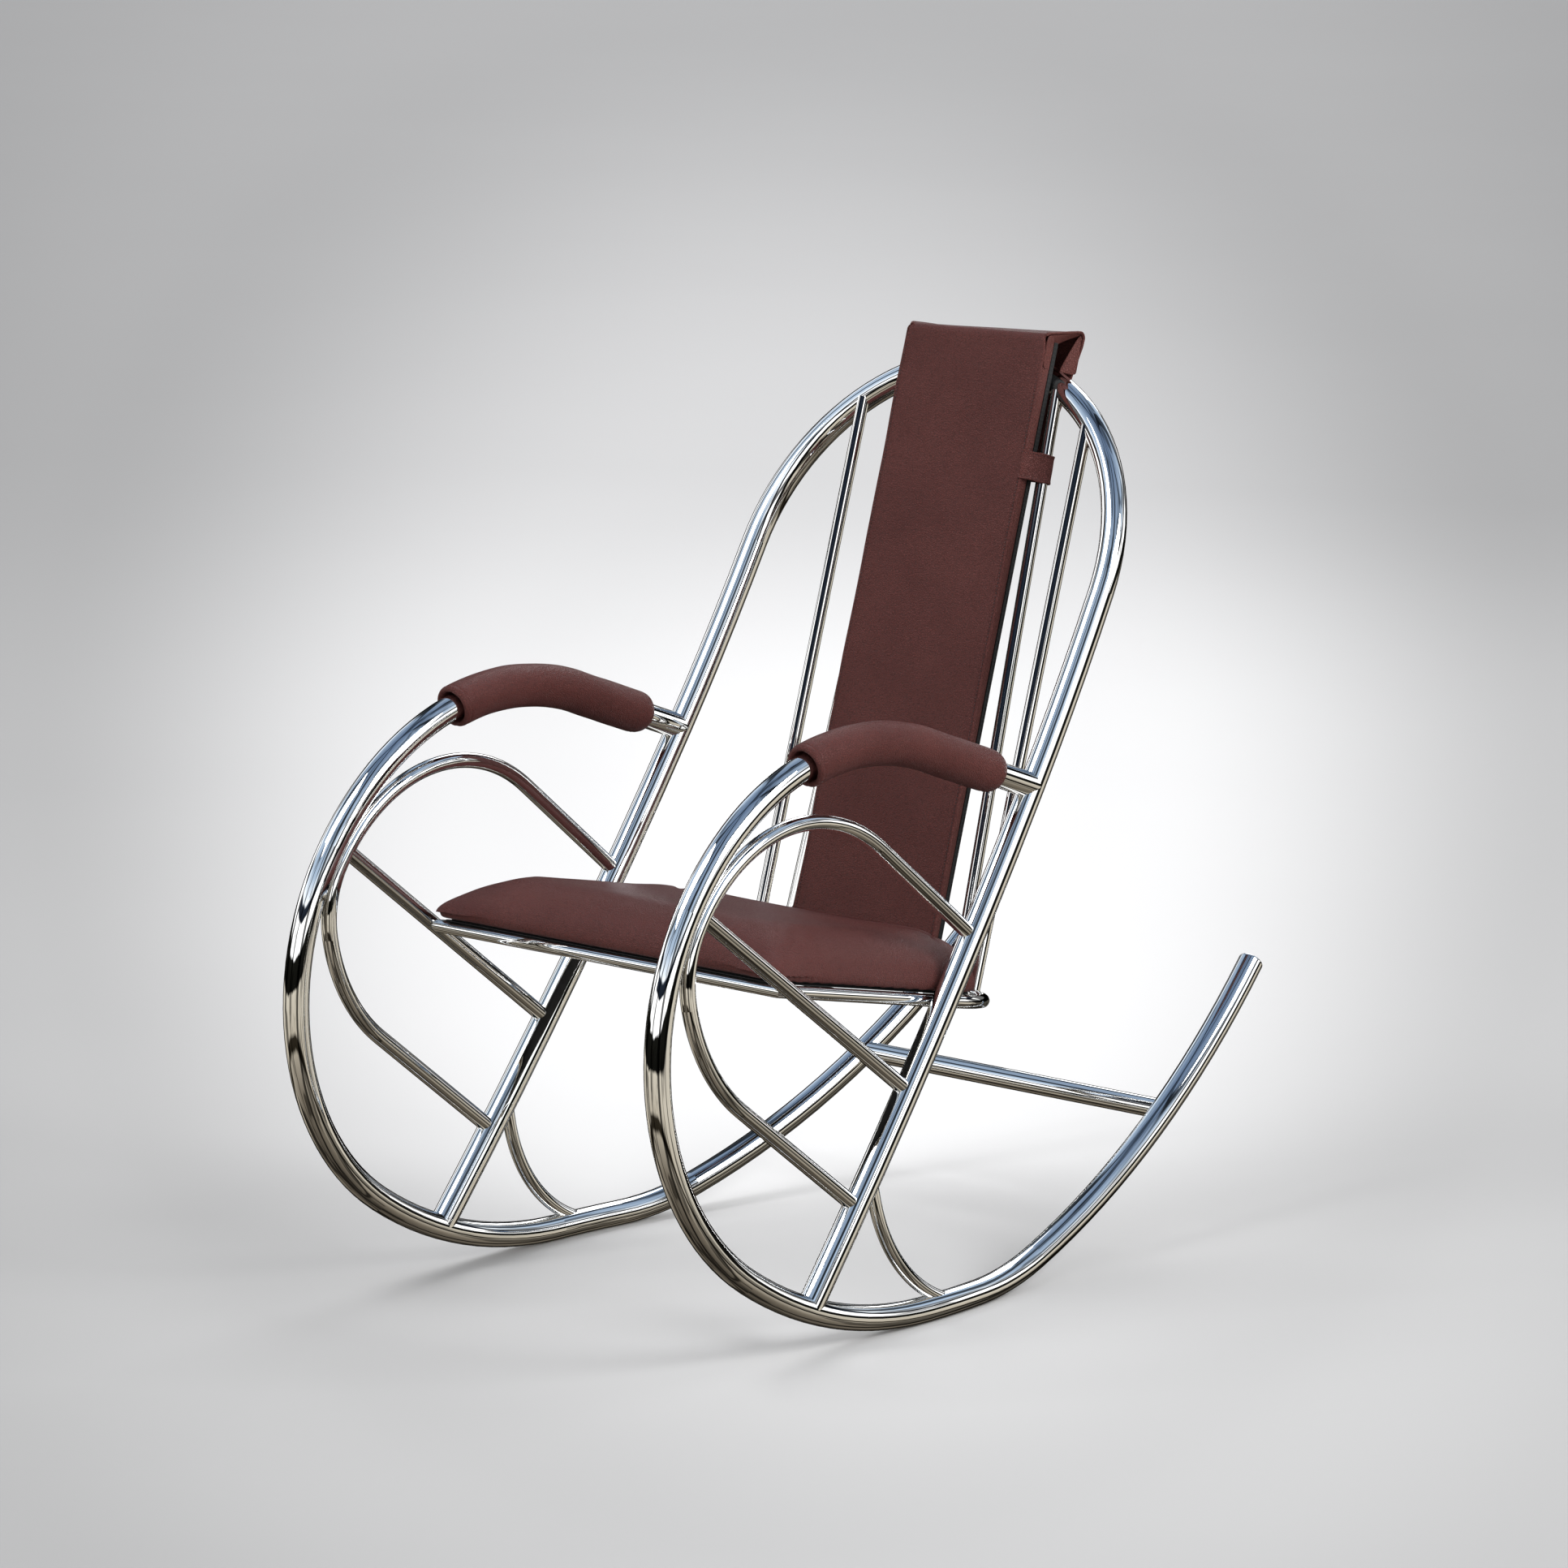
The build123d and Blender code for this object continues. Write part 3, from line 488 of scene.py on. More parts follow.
def seat_cushion():
    """Crowned cushion, swollen by its foam, with the small pulls towards its stapled corners."""
    mesh = loft("seat_cushion", seat_rings())
    mesh = with_modifiers(mesh, ("REMESH", {"mode": "VOXEL", "voxel_size": 0.0045}))
    mesh = swell(mesh, 4.0, 0.0022, lambda p: seat_local(p)[2] < SEAT_FLOOR + 0.003)
    mesh = with_modifiers(
        mesh,
        ("SMOOTH", {"factor": 0.5, "iterations": 12}),
        ("SUBSURF", {"levels": 1, "render_levels": 1}),
    )
    for vertex in mesh.vertices:
        x, back, up = seat_local(vertex.co)
        height = (up - SEAT_FLOOR) / SEAT_HEIGHT
        if height < 0.02:
            continue
        # Soft pulls at the two rear corners, where the cover is gathered under the board
        across, along = abs(x) - 0.205, back - 0.345
        spoke = math.atan2(along, across)
        distance = math.hypot(across, along)
        fold = math.exp(-((distance - 0.03) / 0.05) ** 2) * math.cos(4.5 * spoke + 0.7)
        corner = max(0.0, (abs(x) - 0.17) / 0.107) * max(0.0, (0.085 - back) / 0.098)
        vertex.co -= SEAT_UP * (0.34 * corner * max(up - SEAT_FLOOR - SEAT_LIP, 0.0))
        reach = corner * max(0.0, 1 - height)
        vertex.co += Vector((math.copysign(0.004, x) * reach, 0, 0)) - SEAT_BACK * (0.003 * reach)
        ripple = noise.noise(Vector((x * 9, back * 9, 3.1))) * 0.0012
        vertex.co += SEAT_UP * (0.0016 * fold * min(height * 2, 1) + ripple * height)
    cushion = piece("seat_cushion", mesh, LEATHERETTE, ("seat_cover", "seat_foam"))
    return cushion


# Back pad

PAD_STEPS = 6
PAD_SIDES = 90
PAD_ENDS = 24
PAD_WIDENING = 0.006


def panel_rings(half_width, length, radius, insets):
    """Rings of the back pad in its own frame."""
    loops = []
    for inset, out in insets:
        outline = rounded_outline(
            half_width - inset, inset, length - inset, max(radius - inset, 0.0012),
            max(radius - inset, 0.0012), 0.0012, steps=PAD_STEPS, sides=PAD_SIDES, ends=PAD_ENDS,
        )
        loops.append([back_point(x, up, out) for x, up in outline])
    return loops


def panel_lift(x, up):
    """Slow unevenness of the back pad's front."""
    return 0.0009 * noise.noise(Vector((x * 7, up * 5, 1.7)))


def edge_shift(x, up):
    """Slow waviness of the back pad's long edges, and how much wider the pad is sewn at its foot."""
    widening = PAD_WIDENING * max(0.0, 1 - up / PAD_LENGTH) * max(0.0, x / BACK_HALF_WIDTH)
    return widening + 0.0009 * noise.noise(Vector((x * 2, up * 16, 8.3)))


def back_pad():
    """Body of the slim pad: the boxing round its sides and top, and a plain front under the panel."""
    top = PAD_FLOOR + PAD_HEIGHT - 0.0024
    insets = [
        (0.012, PAD_FLOOR - 0.0002),
        (0.002, PAD_FLOOR - 0.0002),
        (0.0002, PAD_FLOOR + 0.0012),
        (-0.0004, PAD_FLOOR + 0.0060),
        (-0.0004, PAD_FLOOR + 0.0110),
        (0.0003, top - 0.0012),
        (0.0012, top - 0.0002),
        (0.0060, top),
        (0.0120, top),
    ]
    rings = panel_rings(BACK_HALF_WIDTH, PAD_LENGTH, 0.006, insets)
    mesh = panelled("back_pad", rings, PAD_STEPS, PAD_SIDES, PAD_ENDS, 0.0)
    mesh = with_modifiers(mesh, ("SUBSURF", {"levels": 1, "render_levels": 1}))
    for vertex in mesh.vertices:
        offset = vertex.co - BACK_ORIGIN
        up, out = offset.dot(BACK_UP), offset.dot(BACK_OUT)
        share = max(0.0, min(1.0, (out - PAD_FLOOR) / PAD_HEIGHT))
        vertex.co += BACK_OUT * (panel_lift(offset.x, up) * share)
        vertex.co.x += edge_shift(offset.x, up) * share
    pad = piece("back_pad", mesh, LEATHERETTE_LIT, ("back_cover", "back_foam"))
    return pad


def stitch(point, along, normal, length, radius):
    """Rings of one short raised stitch."""
    side = along.cross(normal).normalized()
    rings = []
    for share, size in ((-0.5, 0.25), (-0.38, 0.85), (-0.15, 1.0), (0.15, 1.0), (0.38, 0.85), (0.5, 0.25)):
        centre = point + along * (share * length) - normal * (radius * (0.9 if abs(share) > 0.45 else 0.25))
        ring = []
        for i in range(6):
            turn = math.tau * i / 6
            ring.append(centre + (side * math.cos(turn) + normal * math.sin(turn)) * radius * size)
        rings.append(ring)
    return rings


def stitch_row(name, points, normals, pitch, length=0.0026, radius=0.00042):
    """Stitches at an even pitch along a line of points."""
    grid = bmesh.new()
    carried = 0.0
    for i in range(len(points) - 1):
        step = points[i + 1] - points[i]
        span = step.length
        if span == 0:
            continue
        along = step / span
        place = carried
        while place < span:
            rings = stitch(points[i] + along * place, along, normals[i], length, radius)
            rows = [[grid.verts.new(p) for p in ring] for ring in rings]
            for lower, upper in zip(rows, rows[1:]):
                for j in range(6):
                    k = (j + 1) % 6
                    grid.faces.new((lower[j], lower[k], upper[k], upper[j]))
            grid.faces.new(list(reversed(rows[0])))
            grid.faces.new(rows[-1])
            place += pitch
        carried = place - span
    bmesh.ops.recalc_face_normals(grid, faces=grid.faces)
    mesh = bpy.data.meshes.new(name)
    grid.to_mesh(mesh)
    grid.free()
    return mesh


def back_stitches():
    """Topstitching beside the edges, up both sides of the front panel."""
    rows = []
    for side in (-1, 1):
        points, normals = [], []
        for i in range(120):
            up = 0.004 + (PAD_LENGTH - 0.026) * i / 119
            x = side * (BACK_HALF_WIDTH - STITCH_INSET)
            points.append(back_point(x + edge_shift(x, up), up, PANEL_OUT - 0.0004 + panel_lift(x, up)))
            normals.append(BACK_OUT)
        rows.append(stitch_row("row", points, normals, 0.0042, 0.0029, 0.00062))
    return piece("back_stitches", joined("back_stitches", rows), THREAD)


# Arm pads


def arm_line(side):
    """Points of one arm's centre line from the front end of its pad, with the way along it."""
    u, v = REST_FRONT_Y, TUBE_RADIUS
    heading = math.pi
    points = []
    for number, (radius, angle) in enumerate((LOWER_BEND, FRONT_BEND, ARM_BEND)):
        centre_u = u + radius * math.sin(heading)
        centre_v = v - radius * math.cos(heading)
        begin = ARM_PAD_START if number == 2 else 1.0
        steps = 60 if number == 2 else 0
        for i in range(steps + 1):
            turn = heading - math.radians(angle) * (begin + (1 - begin) * i / max(steps, 1))
            point = (centre_u - radius * math.sin(turn), centre_v + radius * math.cos(turn))
            if number == 2:
                points.append(point)
        heading -= math.radians(angle)
        u = centre_u - radius * math.sin(heading)
        v = centre_v + radius * math.cos(heading)
    straight = ARM_STRAIGHT * ARM_PAD_STRAIGHT
    for i in range(1, 21):
        reach = straight * i / 20
        points.append((u + reach * math.cos(heading), v + reach * math.sin(heading)))
    placed = []
    for u, v in points:
        x = side * (SIDE_SPREAD - v * math.sin(SIDE_CAMBER))
        placed.append(Vector((x, u, v * math.cos(SIDE_CAMBER))))
    return placed


def at_length(points, length):
    """Point and direction at a length along a line of points, also a little beyond its ends."""
    left = length
    for i in range(len(points) - 1):
        step = points[i + 1] - points[i]
        span = step.length
        if left <= span or i == len(points) - 2:
            return points[i] + step * (left / span), step / span
        left -= span
    return points[-1], (points[-1] - points[-2]).normalized()


def line_length(points):
    """Length along a line of points."""
    return sum((b - a).length for a, b in zip(points, points[1:]))


def smooth_frame(points, length):
    """Point, side and normal of the line at a length, from its ends on either side."""
    before, _ = at_length(points, length - 0.004)
    after, _ = at_length(points, length + 0.004)
    here, _ = at_length(points, length)
    along = (after - before).normalized()
    side = along.cross(Vector((0, 0, 1)))
    side = Vector((side.x, side.y, side.z)).normalized()
    return here, along, side, side.cross(along).normalized()


def arm_profile(length):
    """Places along an arm pad with the pad's radius there, from its front bore to its rear end."""
    radius = ARM_PAD_RADIUS
    front = [
        (0.030, TUBE_RADIUS + 0.0003),
        (0.016, 0.0184),
        (0.007, 0.0190),
        (0.0020, 0.0194),
        (0.0002, 0.0203),
        (-0.0007, 0.0218),
        (-0.0004, 0.0236),
        (0.0010, 0.0252),
        (0.0030, 0.0262),
        (0.0052, 0.0266),
        (0.0066, 0.0262),
        (0.0074, 0.0257),
        (0.0083, 0.0261),
        (0.0105, 0.0266),
        (0.0150, radius),
    ]
    body = [(0.015 + (length - 0.034) * i / 46, radius) for i in range(1, 47)]
    rear = [
        (length - 0.0145, 0.0262),
        (length - 0.0105, 0.0254),
        (length - 0.0068, 0.0241),
        (length - 0.0036, 0.0222),
        (length - 0.0012, 0.0200),
        (length - 0.0002, 0.0180),
        (length, TUBE_RADIUS + 0.0003),
    ]
    return front + body + rear


def arm_pad(side, name):
    """Padded sleeve: a rolled front hem round a dark bore, a soft body and a drawn-in rear end."""
    points = arm_line(side)
    length = line_length(points)
    rings = []
    count = 72
    for place, radius in arm_profile(length):
        here, along, across, up = smooth_frame(points, place)
        ring = []
        for i in range(count):
            turn = math.tau * i / count
            way = across * math.cos(turn) + up * math.sin(turn)
            soft = 0.0
            if radius > 0.024:
                soft = noise.noise(Vector((math.cos(turn) * 1.3, math.sin(turn) * 1.3, place * 26 + side * 5)))
                soft = 0.0007 * soft
                under = math.exp(-((turn - 1.5 * math.pi) / 0.07) ** 2)
                soft -= 0.0011 * under
            ring.append(here + way * (radius + soft))
        rings.append(ring)
    mesh = loft(name, rings, caps=False)
    mesh = with_modifiers(mesh, ("SUBSURF", {"levels": 1, "render_levels": 1}))
    nodes = ("arm_cover_" + name.split("_")[-1], "arm_foam_" + name.split("_")[-1])
    pad = piece(name, mesh, LEATHERETTE, nodes)
    seam, normals = [], []
    for i in range(90):
        place = 0.018 + (length - 0.036) * i / 89
        here, along, across, up = smooth_frame(points, place)
        turn = 1.5 * math.pi + 0.16
        way = across * math.cos(turn) + up * math.sin(turn)
        seam.append(here + way * (ARM_PAD_RADIUS - 0.0001))
        normals.append(way)
    row = stitch_row(name + "_seam", seam, normals, 0.0042)
    piece(name + "_stitches", row, THREAD)
    return pad


# Hood, straps and sleeve


def rounded_line(corners, radii, steps=8):
    """Points of a flat line whose corners are rounded."""
    points = [Vector(corners[0])]
    for i in range(1, len(corners) - 1):
        here = Vector(corners[i])
        before = (Vector(corners[i - 1]) - here).normalized()
        after = (Vector(corners[i + 1]) - here).normalized()
        half = before.angle(after) / 2
        back = radii[i - 1] / math.tan(half)
        centre = here + (before + after).normalized() * (radii[i - 1] / math.sin(half))
        start, end = here + before * back - centre, here + after * back - centre
        turn = start.angle(end)
        for step in range(steps + 1):
            share = step / steps
            a = math.sin((1 - share) * turn) / math.sin(turn)
            b = math.sin(share * turn) / math.sin(turn)
            points.append(centre + start * a + end * b)
    points.append(Vector(corners[-1]))
    return points


def resampled(points, count):
    """The line again with evenly spaced points."""
    total = line_length(points)
    return [at_length(points, total * i / (count - 1))[0] for i in range(count)]


hood_places = [vertex.co - BACK_ORIGIN for vertex in NODES["back_hood"].data.vertices]
HOOD_REAR = min(place.dot(BACK_OUT) for place in hood_places)
HOOD_TOP = max(place.dot(BACK_UP) for place in hood_places)
HOOD_END = min(place.dot(BACK_UP) for place in hood_places)
HOOD_FRONT_TOP = PAD_LENGTH + 0.0024
FLAP_TAPER = 0.165
FLAP_NARROWING = 0.0310
SHEET = 0.0019
SLEEVE_RADIUS = 0.0178
SLEEVE_TURN = math.radians(20.5)


def divided(points, longest):
    """The line again, with long runs cut into even shorter ones."""
    made = [points[0]]
    for begin, end in zip(points, points[1:]):
        cuts = max(1, math.ceil((end - begin).length / longest))
        made.extend(begin.lerp(end, i / cuts) for i in range(1, cuts + 1))
    return made


def hood_line():
    """Side view of the front panel and hood as points (up, out): front, top, rear flap."""
    corners = [
        (0.0010, PANEL_OUT),
        (HOOD_FRONT_TOP, PANEL_OUT),
        (HOOD_TOP, HOOD_REAR),
        (HOOD_END, HOOD_REAR + 0.003),
    ]
    return divided(rounded_line(corners, [0.014, 0.008]), 0.009)


def hood_warp(share, up, out, behind):
    """Uneven pull of the hood: how far a point of it moves up, by its share of the half width."""
    back = max(0.0, min(1.0, (PANEL_OUT - out) / (PANEL_OUT - HOOD_REAR)))
    near_top = max(0.0, min(1.0, (up - (PAD_LENGTH - 0.09)) / 0.09))
    ease = near_top * near_top * (3 - 2 * near_top)
    lift = 0.0035 * (1 + share) * (1 - back) + (0.0010 * (1 + share) - 0.0060 * (1 - share)) * back
    return lift * (ease if not behind else 1 - min(1.0, (HOOD_TOP - up) / 0.12) if up < HOOD_TOP else 1.0)


def hood_places_along():
    """Run, point, outward way and half width at each step along the panel and hood."""
    line = hood_line()
    last = len(line) - 1
    total = line_length(line)
    fold = HOOD_FRONT_TOP - 0.006
    rows, run = [], 0.0
    for j, point in enumerate(line):
        run += (point - line[j - 1]).length if j else 0.0
        ahead = line[min(j + 1, last)] - line[max(j - 1, 0)]
        outward = Vector((-ahead.y, ahead.x)).normalized()
        if j == 0:
            outward = Vector((0, 1))
        taper = max(0.0, (run - (total - FLAP_TAPER)) / FLAP_TAPER)
        pulled = 0.0045 * math.exp(-((run - fold) / 0.009) ** 2)
        rows.append((run, point, outward, BACK_HALF_WIDTH + 0.0004 - FLAP_NARROWING * taper - pulled))
    return rows, total


def hood():
    """Front panel that runs on over the top of pad and hoop and hangs down behind as a tapered flap."""
    rows, total = hood_places_along()
    edge = [1.0, 0.994, 0.984, 0.972, 0.958, 0.935, 0.90]
    inner = [0.9 * i / 12 for i in range(11, 0, -1)]
    shares = [-share for share in edge + inner] + [0.0] + list(reversed(edge + inner))
    rings = []
    for share in shares:
        outer, under = [], []
        for run, point, outward, width in rows:
            x = share * width
            on_front = max(0.0, min(1.0, (HOOD_FRONT_TOP - 0.03 - run) / 0.05))
            free = 1 - on_front
            slack = 0.0010 * noise.noise(Vector((x * 12, run * 14, 4.4))) * free
            sag = -0.0016 * (1 - share * share) * math.sin(math.pi * min(run / (total - 0.16), 1.0)) * free
            border = (1 - abs(share)) * width
            roll = -0.0016 * max(0.0, 1 - border / 0.0020) ** 2
            dimple = -0.0009 * math.exp(-((border - STITCH_INSET) / 0.0016) ** 2) * on_front
            lift = slack + sag + roll + dimple + panel_lift(x, run) * on_front
            x += edge_shift(x, run) * on_front
            rise = point.x + hood_warp(share, point.x, point.y, run > HOOD_FRONT_TOP)
            outer.append(back_point(x, rise + outward.x * lift, point.y + outward.y * lift))
            lift -= SHEET + min(roll, 0.0) * 0.4
            under.append(back_point(x, rise + outward.x * lift, point.y + outward.y * lift))
        rings.append(outer + list(reversed(under)))
    mesh = loft("front_panel", rings, thin=True)
    mesh = with_modifiers(mesh, ("SUBSURF", {"levels": 1, "render_levels": 1}))
    return piece("front_panel", mesh, LEATHERETTE, ("back_hood",))


def tube_along(name, points, radius, sides=10, flat=1.0):
    """Round bead along a line of points."""
    rings = []
    for i, point in enumerate(points):
        ahead = (points[min(i + 1, len(points) - 1)] - points[max(i - 1, 0)]).normalized()
        across = ahead.cross(Vector((1, 0, 0)))
        if across.length < 0.2:
            across = ahead.cross(Vector((0, 0, 1)))
        across.normalize()
        other = ahead.cross(across)
        ring = []
        for j in range(sides):
            turn = math.tau * j / sides
            ring.append(point + across * math.cos(turn) * radius + other * math.sin(turn) * radius * flat)
        rings.append(ring)
    return loft(name, rings)


def hood_hems():
    """Rolled hems along the two open ends of the hood, a bead on the edge and one beside it."""
    rows, total = hood_places_along()
    beads = []
    for side in (-1, 1):
        for inset, radius, depth in ((0.0002, 0.0015, 0.0008), (0.0036, 0.0012, 0.0006)):
            points = []
            for run, point, outward, width in rows:
                if run > HOOD_FRONT_TOP - 0.004:
                    x = side * (width - inset)
                    rise = point.x + hood_warp(side, point.x, point.y, True)
                    points.append(back_point(x, rise - outward.x * depth, point.y - outward.y * depth))
            beads.append(tube_along("bead", points, radius, 10, 1.1))
    mesh = joined("hood_hems", beads)
    return piece("hood_hems", mesh, LEATHERETTE_LIT)


def ears():
    """Rounded upper ends of the boxing, folded over at the open ends of the hood."""
    meshes = []
    for side in (-1, 1):
        shift = 0.0035 * (1 + side)
        front, rear = PANEL_OUT - 0.0022, PAD_FLOOR + 0.0030
        radius = (front - rear) / 2
        middle = (front + rear) / 2
        outline = [(PAD_LENGTH - 0.036, front), (PAD_LENGTH - 0.020, front)]
        for i in range(13):
            turn = math.pi * i / 12
            up = PAD_LENGTH - 0.0065 + shift + radius * math.sin(turn)
            outline.append((up, middle + radius * math.cos(turn)))
        outline.append((PAD_LENGTH - 0.020, rear))
        outline.append((PAD_LENGTH - 0.036, rear))
        rings = []
        for size, proud in ((1.0, -0.0010), (1.0, 0.0006), (0.93, 0.0013), (0.80, 0.0013), (0.70, 0.0007), (0.4, 0.0007)):
            ring = []
            for up, out in outline:
                x = side * (BACK_HALF_WIDTH + proud)
                centre = PAD_LENGTH - 0.018
                ring.append(back_point(x, centre + (up - centre) * size, middle + (out - middle) * size))
            rings.append(ring)
        meshes.append(loft("ear", rings))
    mesh = with_modifiers(joined("ears", meshes), ("SUBSURF", {"levels": 2, "render_levels": 2}))
    return piece("hood_ears", mesh, LEATHERETTE_LIT)


def sheet_mesh(name, corner_rows, thickness):
    """Thin sheet through a grid of points, given row by row."""
    mesh = loft(name, corner_rows, closed_ring=False, caps=False)
    return with_modifiers(
        mesh,
        ("SUBSURF", {"levels": 2, "render_levels": 2}),
        ("SOLIDIFY", {"thickness": thickness, "offset": 0.0}),
    )


def hood_gussets():
    """Ends of the hood folded inwards like a parcel's: a top triangle and a rear one."""
    front = PANEL_OUT - 0.006
    rear = HOOD_REAR + 0.0016
    sheets = []
    for side in (-1, 1):
        low = HOOD_FRONT_TOP - 0.003 + 0.0035 * (1 + side)
        high = HOOD_TOP - 0.003 + 0.0010 * (1 + side) - 0.0060 * (1 - side)
        edge = side * (BACK_HALF_WIDTH - 0.0014)
        rows = []
        for i in range(9):
            share = i / 8
            out = front + (rear - front) * share
            upper = low + (high - low) * share
            hang = 0.021 * (1 - share) + 0.0015
            inward = side * 0.007 * math.sin(math.pi * share) + side * 0.002
            rows.append([
                back_point(edge, upper, out),
                back_point(edge - inward * 0.5, upper - hang * 0.5, out),
                back_point(edge - inward, upper - hang, out),
            ])
        sheets.append(sheet_mesh("top_gusset", rows, 0.0012))
        rows = []
        for i in range(9):
            share = i / 8
            up = high - 0.001 - 0.052 * share
            reach = 0.0015 + 0.022 * share ** 0.8
            inward = side * (0.002 + 0.006 * share)
            rows.append([
                back_point(edge, up, rear),
                back_point(edge - inward * 0.5, up, rear + reach * 0.5),
                back_point(edge - inward, up, rear + reach),
            ])
        sheets.append(sheet_mesh("rear_gusset", rows, 0.0012))
    return piece("hood_gussets", joined("hood_gussets", sheets), LEATHERETTE_LIT)


def straps():
    """Flat bands from the pad's corner seam round the inner slats to the pad's rear."""
    bands, rows = [], []
    for side in (-1, 1):
        node = "strap_left" if side > 0 else "strap_right"
        low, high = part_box(node)
        slat_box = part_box("slat_inner_left" if side > 0 else "slat_inner_right")
        height = (low.z + high.z) / 2
        share = (height - slat_box[0].z) / (slat_box[1].z - slat_box[0].z)
        slat_x = abs(slat_box[1].x if side > 0 else slat_box[0].x) - SLAT_RADIUS
        foot_x, top_x = slat_x, min(abs(slat_box[0].x), abs(slat_box[1].x)) + SLAT_RADIUS
        centre_x = foot_x + (top_x - foot_x) * share
        up_middle = (Vector((0, (low.y + high.y) / 2, height)) - BACK_ORIGIN).dot(BACK_UP)
        wrap = SLAT_RADIUS + 0.0014
        front = PAD_FLOOR + PAD_HEIGHT
        section = [
            (BACK_HALF_WIDTH - 0.0065, front + 0.0004),
            (BACK_HALF_WIDTH - 0.0015, front + 0.0006),
            (BACK_HALF_WIDTH + 0.0018, front - 0.0022),
            (BACK_HALF_WIDTH + 0.0042, front - 0.0070),
        ]
        for turn in (38, 20, 0, -25, -50, -75, -100, -125, -150):
            angle = math.radians(turn)
            section.append((centre_x + wrap * math.cos(angle), -SLAT_RADIUS - 0.0003 + wrap * math.sin(angle)))
        section.append((BACK_HALF_WIDTH - 0.010, -0.0030))
        section.append((BACK_HALF_WIDTH - 0.020, -0.0015))
        if side < 0:
            section[:3] = [(BACK_HALF_WIDTH - 0.0100, PAD_FLOOR - 0.0006), (BACK_HALF_WIDTH - 0.0040, PAD_FLOOR - 0.0008)]
            section[2] = (BACK_HALF_WIDTH + 0.0010, PAD_FLOOR - 0.0020)
        path = resampled([Vector((x, out)) for x, out in section], 46)
        rings = []
        lean = (top_x - foot_x) / (slat_box[1].z - slat_box[0].z)
        for i, point in enumerate(path):
            ahead = (path[min(i + 1, 45)] - path[max(i - 1, 0)]).normalized()
            normal = Vector((-ahead.y, ahead.x))
            if i < 30 and normal.x < 0:
                normal = -normal
            ring = []
            half = 0.018 + 0.0004 * math.sin(i * 0.5)
            profile = (
                (-1.0, 0.0002), (-0.99, 0.0014), (-0.94, 0.0022), (-0.87, 0.0021), (-0.80, 0.0014),
                (-0.4, 0.0016), (0.0, 0.0017), (0.4, 0.0016),
                (0.80, 0.0014), (0.87, 0.0021), (0.94, 0.0022), (0.99, 0.0014), (1.0, 0.0002),
                (0.9, -0.0002), (0.0, -0.0002), (-0.9, -0.0002),
            )
            for share_up, lift in profile:
                up = share_up * half
                x = point.x + normal.x * lift + lean * up
                ring.append(back_point(side * x, up_middle + up, point.y + normal.y * lift))
            rings.append(ring)
        bands.append(loft("band", rings))
        for edge in (-0.80, 0.80):
            points, normals = [], []
            for i, point in enumerate(path[:34]):
                ahead = (path[i + 1] - path[max(i - 1, 0)]).normalized()
                normal = Vector((-ahead.y, ahead.x))
                if normal.x < 0:
                    normal = -normal
                up = edge * 0.018
                x = point.x + normal.x * 0.0016 + lean * up
                points.append(back_point(side * x, up_middle + up, point.y + normal.y * 0.0016))
                normals.append(Vector((side * normal.x, 0, 0)) + BACK_OUT * normal.y)
            rows.append(stitch_row("row", points, normals, 0.0036, 0.0024, 0.00035))
    mesh = with_modifiers(joined("straps", bands), ("SUBSURF", {"levels": 1, "render_levels": 1}))
    piece("straps", mesh, LEATHERETTE, ("strap_left", "strap_right"))
    piece("strap_stitches", joined("strap_stitches", rows), THREAD)


def sleeve():
    """Sleeve wrapped round the top of the hoop, with rolled ends and creases across its bend."""
    low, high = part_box("hoop_wrap")
    bend = (high.x - SLEEVE_RADIUS * math.cos(SLEEVE_TURN)) / math.sin(SLEEVE_TURN)
    top = Vector((0, high.y - SLEEVE_RADIUS, high.z - SLEEVE_RADIUS))
    ends = [(1.0, 0.0163), (1.0, 0.0172), (0.998, 0.0178), (0.985, 0.0181), (0.965, 0.0178), (0.955, 0.0173), (0.94, 0.0177)]
    body = [(0.92 * i / 30, SLEEVE_RADIUS) for i in range(30, 0, -1)]
    half = ends + body
    places = [(-share, radius) for share, radius in half] + [(0.0, SLEEVE_RADIUS)] + list(reversed(half))
    rings = []
    for share, radius in places:
        turn = SLEEVE_TURN * share
        radial = Vector((math.sin(turn), 0, 0)) + BACK_UP * math.cos(turn)
        centre = top - BACK_UP * bend + radial * bend
        ring = []
        for i in range(60):
            angle = math.tau * i / 60
            crease = noise.noise(Vector((share * 21 + 0.8 * math.sin(angle), math.cos(angle) * 0.9, 6.2)))
            seam = math.exp(-((angle - 1.35 * math.pi) / 0.09) ** 2)
            lift = (0.0007 * crease + 0.0009 * seam) if abs(share) < 0.93 else 0.0
            ring.append(centre + (radial * math.cos(angle) + BACK_OUT * math.sin(angle)) * (radius + lift))
        rings.append(ring)
    mesh = with_modifiers(loft("hoop_sleeve", rings, caps=False), ("SUBSURF", {"levels": 1, "render_levels": 1}))
    return piece("hoop_sleeve", mesh, LEATHERETTE, ("hoop_wrap",))


# Board wrapped in black lining


def extent(name, local):
    """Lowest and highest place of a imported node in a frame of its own."""
    places = [local(vertex.co) for vertex in NODES[name].data.vertices]
    return [min(axis) for axis in zip(*places)], [max(axis) for axis in zip(*places)]


